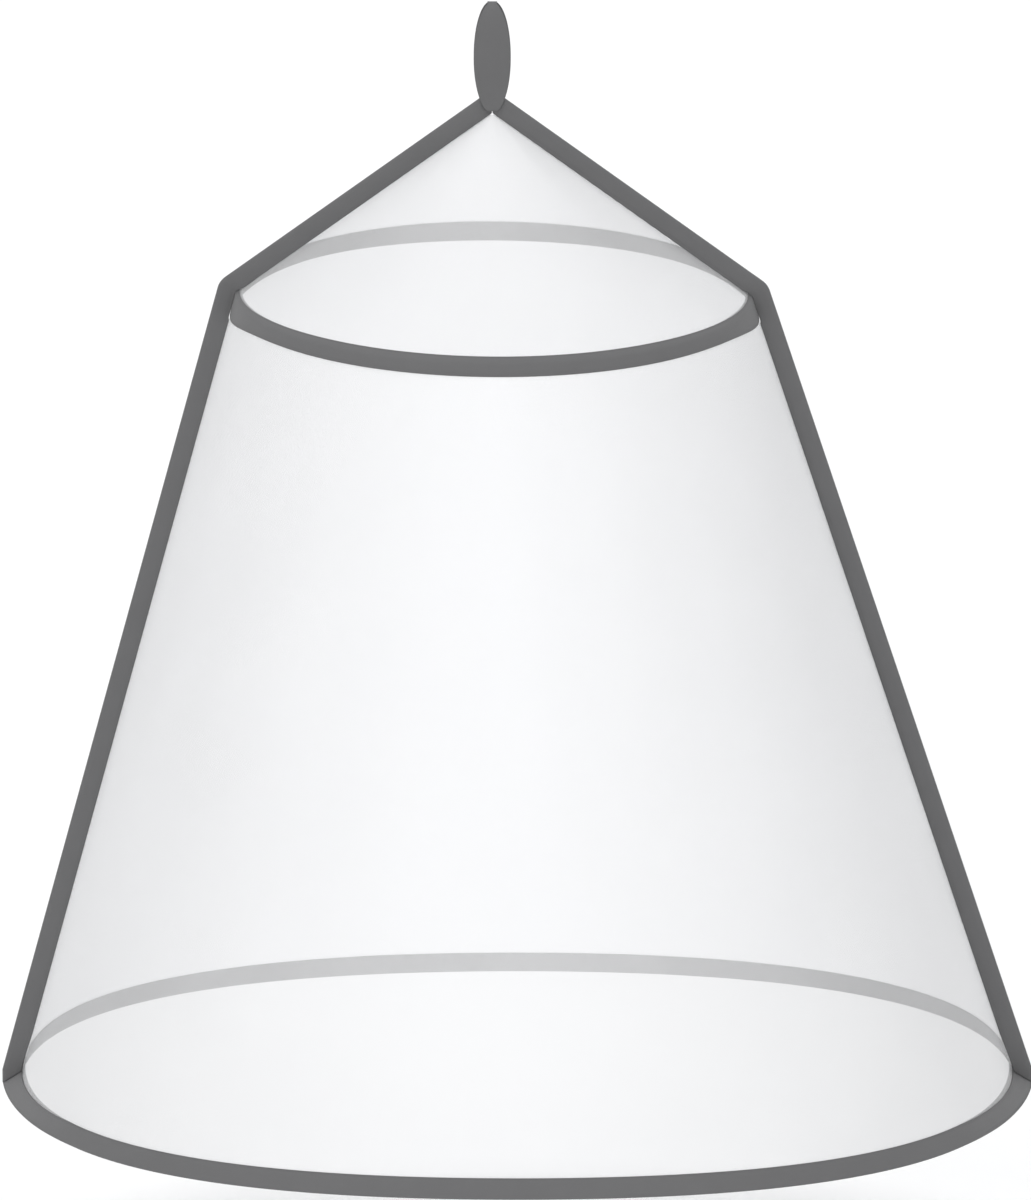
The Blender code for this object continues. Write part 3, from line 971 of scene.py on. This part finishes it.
def sleeve_rows():
    """Down the roof's inner face, round the rod, and down inside the skirt."""
    rows = []
    for angle in ring_angles():
        centre = ring_point(ROD_RING, angle)
        radial = (centre - Vector((ROD_RING.centre_x, 0.0, ROD_RING.height))).normalized()
        above, below = reach_up(angle, SLEEVE_SINK_UP), reach_down(angle)
        near = [above - d for d in SLEEVE_EDGE]
        near[-1] = min(near[-1], SLEEVE_LEAVES)
        up = [roof_point(angle, reach, -lift(above - reach)) for reach in near]
        down = [skirt_point(angle, below - d, -lift(d)) for d in SLEEVE_EDGE]
        first, last = sling_turns(centre, radial, (up[-1], down[-1]))
        bend = []
        for step in range(WRAP_STEPS + 1):
            turn = first + (last - first) * step / WRAP_STEPS
            bend.append(centre + (radial * math.cos(turn) + ROD_UP * math.sin(turn)) * SLING)
        rows.append([*up, *bend, *reversed(down)])
    return lengthwise(rows)


hoop_sleeve = tape_strip("hoop_sleeve_tape", sleeve_rows(), closed=True, finish=SEAM_TAPE)
SLEEVE_WIDTH = running_lengths([row[0] for row in sleeve_rows()])[-1]
tape_report(hoop_sleeve, SLEEVE_WIDTH, SHOULDER_ROUND)

# %% [markdown]
# ## The hem binding
#
# One tape, folded in half over the net's lower edge and sewn through near its top. It gives the
# net the weight that keeps it spread. At the side seams its outer leaf opens out and passes under
# the side tapes, so it closes their lower ends and the grey outline runs round the corner.

# %% Hem binding
HEM_TAPE = 0.038
HEM_FLARE = 0.0285  # how far the outer leaf's fold stands out at the side seams
HEM_DIP = 0.016  # how much lower its upper edge lies there
FLARE_ARC = math.radians(31)  # how far round the hem it takes to lie flat again


def flared(angle):
    """How far the hem tape is opened out, from 1 at the side seams to 0."""
    away = math.asin(min(1.0, abs(math.sin(angle))))
    return max(0.0, 1.0 - away / FLARE_ARC)


def level_out(angle, share):
    """The level way outward, as long as the leaf opens at a share of the way to its fold."""
    normal = outward(SHOULDER, HEM, angle, 1.0)
    level = Vector((normal.x, normal.y, 0.0)).normalized()
    return level * HEM_FLARE * flared(angle) * share


def leaf_point(angle, from_edge, offset):
    """A point of the outer leaf, at a distance from its upper edge."""
    share = from_edge / HEM_TAPE
    above = (HEM_TAPE - HEM_DIP * flared(angle)) * (1.0 - share)
    return hem_point(angle, above, offset) + level_out(angle, share)


def hem_rows():
    """Down outside the net, round its lower edge, and up inside it."""
    steps = from_edge_steps(HEM_TAPE, 4)
    rows = []
    for angle in ring_angles():
        down = drop(SHOULDER, HEM, angle).normalized()
        out = outward(SHOULDER, HEM, angle, 1.0)
        outside = [leaf_point(angle, d, lift(d)) for d in steps]
        inside = [hem_point(angle, HEM_TAPE - d, -lift(d)) for d in steps]
        fold = []
        for turn in FOLD_TURNS:
            bend = (out * math.cos(turn) + down * math.sin(turn)) * FULL_LIFT
            fold.append(ring_point(HEM, angle) + bend + level_out(angle, (1.0 + math.cos(turn)) / 2))
        rows.append([*outside, *fold, *reversed(inside)])
    return lengthwise(rows)


hem_binding = tape_strip("hem_seam_tape", hem_rows(), closed=True, finish=SEAM_TAPE)
HEM_ROUND = ring_length(HEM)
HEM_WIDTHS = [running_lengths(column)[-1] for column in zip(*hem_rows())]
tape_report(hem_binding, min(HEM_WIDTHS), HEM_ROUND)
print("opened out to", round(max(HEM_WIDTHS), 4), "m at the side seams")

# %% [markdown]
# ## The side bindings
#
# At each side both nets turn outward, and a tape is folded over their edges, from the apex over
# the shoulder to the hem. Seen from the front it is a flat band along the outline. Where it passes
# over the shoulder tape its open edge steps up, and its lower end stands on the hem tape's leaf.

# %% Helpers for the side seams
SIDE_FOLD = 0.0375  # height of the folded edge above the net
SIDE_HALF = SEAM_HALF + FULL_LIFT
OPEN_EDGE = 0.0010  # height of the open edge above the net
OPEN_EDGE_CROSSING = 0.0030  # and above the tapes that it crosses
CROSSING_RAMP = 0.010
FOOT_LENGTH = 0.032  # the lower end, where the fold turns straight down
FOOT_END = 0.0306  # height of the fold at the very end
FOOT_CLEAR = 0.0018  # from that slanting end down to the hem tape's leaf


def seam_frame(upper, lower, end):
    """Start, way down and normal of a side seam; end is 1 at the right and -1 at the left."""
    angle = 0.0 if end > 0 else math.pi
    down = drop(upper, lower, angle)
    return ring_point(upper, angle), down, down.cross(Vector((0.0, end, 0.0))).normalized()


def seam_point(upper, lower, end, share, height):
    """A point in the seam's plane, so far down and so high above the net."""
    start, down, normal = seam_frame(upper, lower, end)
    return start + down * share + normal * height


def open_edge(clear):
    """Height of the tape's open edge, where clear is the way to the nearest tape that it crosses."""
    near = 1.0 - max(0.0, min(1.0, clear / CROSSING_RAMP))
    return OPEN_EDGE + (OPEN_EDGE_CROSSING - OPEN_EDGE) * near * near * (3.0 - 2.0 * near)


def side_profile(start, fold):
    """Height and sideways offset across the folded tape, from one open edge to the other."""
    flat = fold - SIDE_HALF - start
    steps = [d for d in from_edge_steps(flat, 3) if d <= flat]
    profile = [(start + d, -SEAM_HALF - lift(d)) for d in steps]
    for turn in FOLD_TURNS:
        profile.append((start + flat + SIDE_HALF * math.sin(turn), -SIDE_HALF * math.cos(turn)))
    return profile + [(height, -offset) for height, offset in reversed(profile[: len(steps)])]


print("side tape's folded profile:", len(side_profile(OPEN_EDGE, SIDE_FOLD)), "points")

# %% Stations along a side seam
APEX_CLEAR = 0.0007
END_STEPS = 8  # round the shoulder's corner, and down the tape's foot
ROOF_SHARES = [step / 24 for step in range(1, 23)] + [0.936, 0.950, 0.962, 0.972, 0.979, 0.985, 0.990]
ROOF_STATION = 20  # one clear of both ends, where the tape's width is read
NEAR_SHOULDER = [0.006, 0.012, 0.018, 0.023, 0.027, 0.031, 0.035]
SKIRT_SHARES = NEAR_SHOULDER + [0.04 + 0.92 * step / 40 for step in range(40)]
Station = namedtuple("Station", "place start fold")


def seam_place(upper, lower, end, share):
    """A straight row across the seam allowance."""
    return lambda height: seam_point(upper, lower, end, share, height)


def corner_place(corner, normal):
    """A row at the shoulder, where the seam turns from the roof to the skirt."""
    return lambda height: corner + normal * height


def mitre_place(end):
    """At the apex the tape ends in the canopy's middle plane, whatever the height."""

    def place(height):
        first = seam_point(APEX, SHOULDER, end, 0.0, height).x
        last = seam_point(APEX, SHOULDER, end, 1.0, height).x
        share = (end * APEX_CLEAR - first) / (last - first)
        return seam_point(APEX, SHOULDER, end, share, height)

    return place


def roof_stations(end):
    length = seam_frame(APEX, SHOULDER, end)[1].length
    made = [Station(mitre_place(end), OPEN_EDGE, SIDE_FOLD)]
    for share in ROOF_SHARES:
        clear = (1.0 - share) * length - reach_up(0.0)
        made.append(Station(seam_place(APEX, SHOULDER, end, share), open_edge(clear), SIDE_FOLD))
    return made


def corner_stations(end):
    corner = ring_point(SHOULDER, 0.0 if end > 0 else math.pi)
    roof_normal = seam_frame(APEX, SHOULDER, end)[2]
    skirt_normal = seam_frame(SHOULDER, HEM, end)[2]
    made = []
    for step in range(END_STEPS + 1):
        normal = roof_normal.slerp(skirt_normal, step / END_STEPS)
        made.append(Station(corner_place(corner, normal), OPEN_EDGE_CROSSING, SIDE_FOLD))
    return made


def skirt_stations(end):
    length = seam_frame(SHOULDER, HEM, end)[1].length
    made = []
    for share in SKIRT_SHARES:
        clear = min(share * length - reach_down(0.0), (1.0 - share) * length - HEM_TAPE - FOOT_LENGTH)
        made.append(Station(seam_place(SHOULDER, HEM, end, share), open_edge(clear), SIDE_FOLD))
    return made + foot_stations(end)


def foot_place(end, above):
    """A row parallel to the hem tape's open leaf, so far above the side tape's end."""
    angle = 0.0 if end > 0 else math.pi
    start, down, normal = seam_frame(SHOULDER, HEM, end)
    way = down.normalized()
    upper = leaf_point(angle, 0.0, FULL_LIFT) - start - down
    lower = leaf_point(angle, HEM_TAPE, FULL_LIFT) - start - down
    slope = (upper - lower).dot(way) / (upper - lower).dot(normal)

    def place(height):
        beyond = upper.dot(way) + slope * (height - upper.dot(normal)) - FOOT_CLEAR - above
        return seam_point(SHOULDER, HEM, end, 1.0 + beyond / down.length, height)

    return place


def foot_stations(end):
    """The lower end of the tape, cut to the slant of the leaf that it stands on."""
    made = []
    for step in range(END_STEPS + 1):
        fold = SIDE_FOLD + (FOOT_END - SIDE_FOLD) * step / END_STEPS
        above = FOOT_LENGTH * (1.0 - step / END_STEPS)
        made.append(Station(foot_place(end, above), OPEN_EDGE_CROSSING, fold))
    return made


def side_stations(end):
    return roof_stations(end) + corner_stations(end) + skirt_stations(end)


print("stations along a side:", len(side_stations(1)))

# %% Side bindings


def resampled(profile, count):
    """The same profile with a set number of points, so that every station matches."""
    points = [Vector((height, offset, 0.0)) for height, offset in profile]
    lengths = running_lengths(points)
    made = []
    for step in range(count):
        want = lengths[-1] * step / (count - 1)
        index = max(i for i, length in enumerate(lengths[:-1]) if length <= want + 1e-9)
        part = (want - lengths[index]) / (lengths[index + 1] - lengths[index])
        made.append(points[index].lerp(points[index + 1], part))
    return made


def side_binding(name, end):
    """The folded tape of one side, with its width and length laid flat."""
    full = len(side_profile(OPEN_EDGE, SIDE_FOLD))
    stations = []
    for station in side_stations(end):
        profile = side_profile(station.start, station.fold)
        if len(profile) != full:
            profile = [(point.x, point.y) for point in resampled(profile, full)]
        stations.append([station.place(height) + Vector((0.0, offset, 0.0)) for height, offset in profile])
    obj = tape_strip(name, lengthwise(stations), closed=False, finish=SEAM_TAPE)
    width = running_lengths(stations[ROOF_STATION])[-1]
    return obj, width, running_lengths([row[0] for row in stations])[-1]


side_right, SIDE_WIDTH, SIDE_LENGTH = side_binding("side_seam_tape_right", 1)
side_left, _, _ = side_binding("side_seam_tape_left", -1)
tape_report(side_right, SIDE_WIDTH, SIDE_LENGTH)

# %% [markdown]
# ## The hanging loop
#
# The loop is one strip with a leaf-shaped outline, folded over at the top, with both tails sewn
# over the apex. Its outline is an ellipse, and its side view is a thin teardrop, so it is a strip
# whose width follows the height.

# %% Hanging loop
loop_low, loop_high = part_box("hanging_loop")
LOOP_THICKNESS = 0.0016
LOOP_HALF_WIDTH = (loop_high.x - loop_low.x) / 2
LOOP_FOOT = loop_low.z
LOOP_HALF_HEIGHT = 0.1075
LOOP_TOP_WIDTH = 0.018  # the strip is nowhere narrower
LOOP_BASE = -0.186  # height at which its two sides part
LOOP_SPREAD, LOOP_SWELL = 0.004, 0.056  # how far out and up a side sets off there
LOOP_BULGE = 0.030  # and how far out it comes in to the fold
LOOP_CLEAR = 0.0003  # from a tail to the side tape under it
LOOP_BASE_HALF = SIDE_HALF + TAPE / 2 + LOOP_CLEAR + LOOP_THICKNESS / 2
TAIL_STEPS, SIDE_POINTS, HALF_COLUMNS = 5, 60, 8


def loop_side():
    """The loop's front side from its tail to the middle of the fold."""
    top = Vector((0.0, 0.0, -LOOP_THICKNESS / 2))
    base = Vector((0.0, -LOOP_BASE_HALF, LOOP_BASE))
    leave = base + Vector((0.0, -LOOP_SPREAD, LOOP_SWELL))
    arrive = top + Vector((0.0, -LOOP_BULGE, 0.0))
    foot = Vector((0.0, -LOOP_BASE_HALF, LOOP_FOOT))
    tail = [foot.lerp(base, step / TAIL_STEPS) for step in range(TAIL_STEPS)]
    return tail + interpolate_bezier(base, leave, arrive, top, SIDE_POINTS)


def loop_half(height):
    """Half the strip's width at a height."""
    climb = (height + LOOP_HALF_HEIGHT) / LOOP_HALF_HEIGHT
    width = 2 * LOOP_HALF_WIDTH * math.sqrt(max(0.0, 1.0 - climb * climb))
    return max(width, LOOP_TOP_WIDTH) / 2


def loop_path():
    """The strip from side on: up in front, over the hook, and down behind."""
    front = loop_side()
    return front + [Vector((point.x, -point.y, point.z)) for point in reversed(front[:-1])]


def loop_rows():
    rows = []
    for step in range(-HALF_COLUMNS, HALF_COLUMNS + 1):
        across = math.sin(math.pi / 2 * step / HALF_COLUMNS)
        rows.append([point + Vector((across * loop_half(point.z), 0.0, 0.0)) for point in loop_path()])
    return rows


hanging_loop = tape_strip(
    "hanging_loop_strip", loop_rows(), closed=False, finish=LOOP_STRIP, thickness=LOOP_THICKNESS
)
LOOP_LENGTH = running_lengths(loop_path())[-1]
tape_report(hanging_loop, 2 * LOOP_HALF_WIDTH, LOOP_LENGTH)

# %% [markdown]
# ## Stitches, as a rule
#
# A lockstitch shows as a row of short thread grains, one pitch apart. Geometry Nodes can follow
# any line with them: the line becomes a curve, the curve is cut at every pitch, and each point
# takes a grain that lies along it and strays by a degree or two.

# %% Geometry Nodes: stitch row
STITCH_SOCKETS = [
    ("Line", SHAPE, None),
    ("Pitch", FLOAT, 0.004),
    ("Grain Length", FLOAT, 0.003),
    ("Grain Thickness", FLOAT, 0.0007),
    ("Stray", FLOAT, 0.05),
    ("Stray Seed", WHOLE, 5),
    ("Thread", FINISH, None),
]


def build_stitch_row():
    tree, given, out = new_group("stitch row", "GeometryNodeTree", STITCH_SOCKETS, [("Stitches", SHAPE)])
    line = shape(tree, "MeshToCurve", {"Mesh": given["Line"]})
    cut = shape(tree, "ResampleCurve", {"Curve": line, "Length": given["Pitch"]}, mode="LENGTH")
    ball = shape(tree, "MeshUVSphere", {"Segments": 6, "Rings": 4, "Radius": 0.5})
    thickness = given["Grain Thickness"]
    size = vector_of(tree, X=thickness, Y=thickness, Z=given["Grain Length"])
    grain = shape(tree, "Transform", {"Geometry": ball, "Scale": size})
    tangent = add(tree, "GeometryNodeInputTangent").outputs["Tangent"]
    least = scaled(tree, (1.0, 1.0, 1.0), times(tree, given["Stray"], -1.0))
    most = scaled(tree, (1.0, 1.0, 1.0), given["Stray"])
    limits = {"Min": least, "Max": most, "Seed": given["Stray Seed"]}
    stray = add(tree, "FunctionNodeRandomValue", limits, data_type="FLOAT_VECTOR").outputs["Value"]
    way = {"Vector": vectors(tree, "ADD", tangent, stray)}
    turn = add(tree, "FunctionNodeAlignRotationToVector", way, axis="Z").outputs["Rotation"]
    rows = shape(tree, "InstanceOnPoints", {"Points": cut, "Instance": grain, "Rotation": turn})
    finish_shape(tree, rows, given["Thread"], out["Stitches"])
    return tree


STITCH_ROW = build_stitch_row()
print("tree:", STITCH_ROW.name, len(STITCH_ROW.nodes), "nodes")

# %% Helper: stitches along lines
PITCH = 0.0042
GRAIN_LENGTH = 0.0031
GRAIN_THICKNESS = 0.0007
GRAIN_CLEAR = 0.00005  # from the cloth to the middle of a grain
PROUD = TAPE / 2 + GRAIN_CLEAR  # and from a tape's middle


def stitches(name, lines, seed):
    """Stitches along several lines of points; each line is (points, closed)."""
    mesh = bpy.data.meshes.new(name)
    points = []
    edges = []
    for line, closed in lines:
        first = len(points)
        points += line
        edges += [(first + i, first + i + 1) for i in range(len(line) - 1)]
        if closed:
            edges.append((len(points) - 1, first))
    mesh.from_pydata(points, edges, [])
    obj = run_tree(
        new_piece(name, mesh),
        STITCH_ROW,
        Pitch=PITCH,
        Grain_Length=GRAIN_LENGTH,
        Grain_Thickness=GRAIN_THICKNESS,
        Stray_Seed=seed,
        Thread=THREAD,
    )
    print(obj.name, len(obj.data.polygons), "faces")
    return obj


# %% [markdown]
# ## Where the stitches run
#
# Each ring tape is sewn through to the tape behind it, so its rows show on both sides of the net.
# The side tapes are sewn once along their open edges, and the loop's tails with a boxed cross,
# which is how webbing that carries weight is sewn.

# %% Stitches round the rings
SEWN = lift(STITCH_INSET) + PROUD


def ring_line(place, distance, offset):
    """A row of stitches all round, at one distance from an edge."""
    return [place(angle, distance, offset) for angle in ring_angles()], True


def shoulder_line(place, reach, offset):
    """The row of stitches inside the edge that reach tells of."""
    return [place(angle, reach(angle) - STITCH_INSET, offset) for angle in ring_angles()], True


def sleeve_reach_up(angle):
    return reach_up(angle, SLEEVE_SINK_UP)


SHOULDER_LINES = [
    shoulder_line(roof_point, reach_up, SEWN),
    shoulder_line(skirt_point, reach_down, SEWN),
]
SLEEVE_LINES = [
    shoulder_line(roof_point, sleeve_reach_up, -SEWN),
    shoulder_line(skirt_point, reach_down, -SEWN),
]
HEM_LINES = [
    ring_line(leaf_point, STITCH_INSET, SEWN),
    ring_line(hem_point, HEM_TAPE - STITCH_INSET, -SEWN),
]
shoulder_stitches = stitches("shoulder_stitches", SHOULDER_LINES, seed=11)
sleeve_stitches = stitches("sleeve_stitches", SLEEVE_LINES, seed=12)
hem_stitches = stitches("hem_stitches", HEM_LINES, seed=13)

# %% Stitches down the sides


def side_line(end, face):
    """The row along one face of a side tape, a little inside its open edge."""
    offset = Vector((0.0, face * (SEAM_HALF + SEWN), 0.0))
    stations = side_stations(end)[1:-1]
    return [station.place(station.start + STITCH_INSET) + offset for station in stations], False


LEFT_LINES = [side_line(-1, 1), side_line(-1, -1)]
RIGHT_LINES = [side_line(1, 1), side_line(1, -1)]
side_stitches_left = stitches("side_stitches_left", LEFT_LINES, seed=14)
side_stitches_right = stitches("side_stitches_right", RIGHT_LINES, seed=15)

# %% Stitches on the loop
LOOP_PROUD = LOOP_THICKNESS / 2 + GRAIN_CLEAR
LOOP_BOX_INSET = 0.005
BOX_LOW, BOX_HIGH = LOOP_FOOT + 0.004, LOOP_BASE + 0.002
TAIL_END = 3  # points at each tail's end that the edge stitches leave out
LEAST_INSET = 0.001


def loop_edge_line(way):
    """The row inside one edge of the loop, on its outer face."""
    path = loop_path()
    line = []
    for index in range(TAIL_END, len(path) - TAIL_END):
        point = path[index]
        along = (path[index + 1] - path[index - 1]).normalized()
        face = along.cross(Vector((1.0, 0.0, 0.0)))
        inset = max(loop_half(point.z) - STITCH_INSET, LEAST_INSET)
        line.append(point - face * LOOP_PROUD + Vector((way * inset, 0.0, 0.0)))
    return line, False


def loop_box_lines(face):
    """A box and its cross on one tail of the loop."""
    y = face * (LOOP_BASE_HALF + LOOP_PROUD)
    half = loop_half(LOOP_BASE) - LOOP_BOX_INSET
    box = ((-half, BOX_LOW), (half, BOX_LOW), (half, BOX_HIGH), (-half, BOX_HIGH))
    corners = [Vector((x, y, z)) for x, z in box]
    return [(corners, True), ([corners[0], corners[2]], False), ([corners[1], corners[3]], False)]


LOOP_LINES = [loop_edge_line(-1), loop_edge_line(1), *loop_box_lines(-1), *loop_box_lines(1)]
loop_stitches = stitches("loop_stitches", LOOP_LINES, seed=16)

# %% [markdown]
# ## Handing the pieces over
#
# Every piece rides on the one body, and each piece that stands for a CAD node hides that node.
# How large each cloth was cut is worked out here.

# %% Ride and replace
STANDS_FOR = {
    roof_front: "net_roof_front",
    roof_back: "net_roof_back",
    skirt_front: "net_skirt_front",
    skirt_back: "net_skirt_back",
    shoulder_tape: "shoulder_tape",
    hoop_sleeve: "hoop_sleeve",
    hem_binding: "hem_binding",
    side_left: "side_binding_left",
    side_right: "side_binding_right",
    hanging_loop: "hanging_loop",
}
STITCHES = (
    shoulder_stitches,
    sleeve_stitches,
    hem_stitches,
    side_stitches_left,
    side_stitches_right,
    loop_stitches,
)
for piece, node in STANDS_FOR.items():
    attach(piece, "root")
    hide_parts(node)
for piece in STITCHES:
    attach(piece, "root")
print(len(STANDS_FOR), "pieces replace CAD cloth,", len(STITCHES), "pieces of stitching added")


def fan_cut(upper, lower):
    """Width and length of the rectangle that a half cone's flat cut needs."""
    slant = math.hypot(lower.radius - upper.radius, upper.height - lower.height)
    fan = (lower.radius - upper.radius) / slant
    start = upper.radius / fan
    half_turn = math.pi / 2 * fan
    width = 2 * (start + slant) * math.sin(half_turn) + 2 * SEAM_ALLOWANCE
    return width, start + slant - start * math.cos(half_turn)


for piece, upper, lower, held_on in (
    (roof_front, APEX, SHOULDER, "hanging_loop"),
    (roof_back, APEX, SHOULDER, "hanging_loop"),
    (skirt_front, SHOULDER, HEM, "hoop"),
    (skirt_back, SHOULDER, HEM, "hoop"),
):
    fan_cut(upper, lower)
    cut_area(piece)
for piece, width, length, held_on, trim in (
    (shoulder_tape, SHOULDER_WIDTH, SHOULDER_ROUND, "hoop", shoulder_stitches),
    (hoop_sleeve, SLEEVE_WIDTH, SHOULDER_ROUND, "hoop", sleeve_stitches),
    (hem_binding, max(HEM_WIDTHS), HEM_ROUND, "net_skirt_front", hem_stitches),
):
    cut_area(piece)
cut_area(hanging_loop)

# %% [markdown]
# ## Stage, light and camera
#
# The canopy hangs clear of a plain pale floor, as under a ceiling of ordinary height. A pale sky
# lights it from all round, a broad light from above whitens the floor, and a narrower one from the
# front left makes the middle of the bell a little brighter than its sides.

# %% Floor
FLOOR_HEIGHT = -2.50
FLOOR_REACH = 400.0
FLOOR_WHITE = (0.93, 0.93, 0.93)


def pale_floor():
    """A level square, so wide that its edge is never seen."""
    mesh = bpy.data.meshes.new("floor")
    square = ((-1, -1), (1, -1), (1, 1), (-1, 1))
    corners = [(x * FLOOR_REACH, y * FLOOR_REACH, FLOOR_HEIGHT) for x, y in square]
    mesh.from_pydata(corners, [], [(0, 1, 2, 3)])
    made, tree, shader = new_material("pale floor", roughness=0.95, sheen=0.0)
    shader.inputs["Specular IOR Level"].default_value = 0.0
    tinted(tree, shader, FLOOR_WHITE, uneven(tree, spot_size=3.0, amount=0.004))
    mesh.materials.append(made)
    return new_piece("floor", mesh)


pale_floor()

# %% Light
SKY = (0.985, 0.99, 1.0)
SKY_LIGHT = 0.624
SKY_SEEN = 1.05


def sky():
    """Lights the scene with one strength and shows the camera another."""
    world = bpy.data.worlds.new("studio")
    bpy.context.scene.world = world
    world.use_nodes = True
    tree = world.node_tree
    tree.nodes.clear()
    lit = add(tree, "ShaderNodeBackground", {"Color": (*SKY, 1.0), "Strength": SKY_LIGHT})
    seen = add(tree, "ShaderNodeBackground", {"Color": (1.0, 1.0, 1.0, 1.0), "Strength": SKY_SEEN})
    path = add(tree, "ShaderNodeLightPath")
    choice = {0: path.outputs["Is Camera Ray"], 1: lit.outputs[0], 2: seen.outputs[0]}
    mixed = add(tree, "ShaderNodeMixShader", choice)
    add(tree, "ShaderNodeOutputWorld", {"Surface": mixed.outputs[0]})


def aimed(name, data, toward):
    """A light or a camera that looks towards a direction."""
    obj = new_piece(name, data)
    obj.rotation_mode = "QUATERNION"
    obj.rotation_quaternion = Vector(toward).to_track_quat("-Z", "Y")
    return obj


def soft_sun(name, toward, strength, softness):
    """A broad light; its softness is the angle in degrees that it shines from."""
    light = bpy.data.lights.new(name, "SUN")
    light.energy = strength
    light.angle = math.radians(softness)
    aimed(name, light, toward)


sky()
soft_sun("overhead light", toward=(0.05, 0.15, -1.0), strength=1.46, softness=70)
soft_sun("front light", toward=(0.18, 0.97, -0.15), strength=0.95, softness=30)
bpy.context.scene.view_settings.view_transform = "Standard"
bpy.context.scene.view_settings.look = "None"

# %% Camera
AIM = Vector((0.0439, 0.0, -1.1574))
ELEVATION = math.radians(12.89)
DISTANCE = 75.65
LENS, SENSOR = 1200.0, 36.0
NEAREST, FARTHEST = 1.0, 400.0  # what the camera sees between


def long_lens_camera():
    data = bpy.data.cameras.new("camera")
    data.lens, data.sensor_width = LENS, SENSOR
    data.clip_start, data.clip_end = NEAREST, FARTHEST
    back = Vector((0.0, -math.cos(ELEVATION), math.sin(ELEVATION)))
    obj = aimed("camera", data, -back)
    obj.location = AIM + back * DISTANCE
    return obj


bpy.context.scene.camera = long_lens_camera()
print("camera at", [round(value, 2) for value in bpy.context.scene.camera.location])

# %% Finish


bpy.context.view_layer.update()
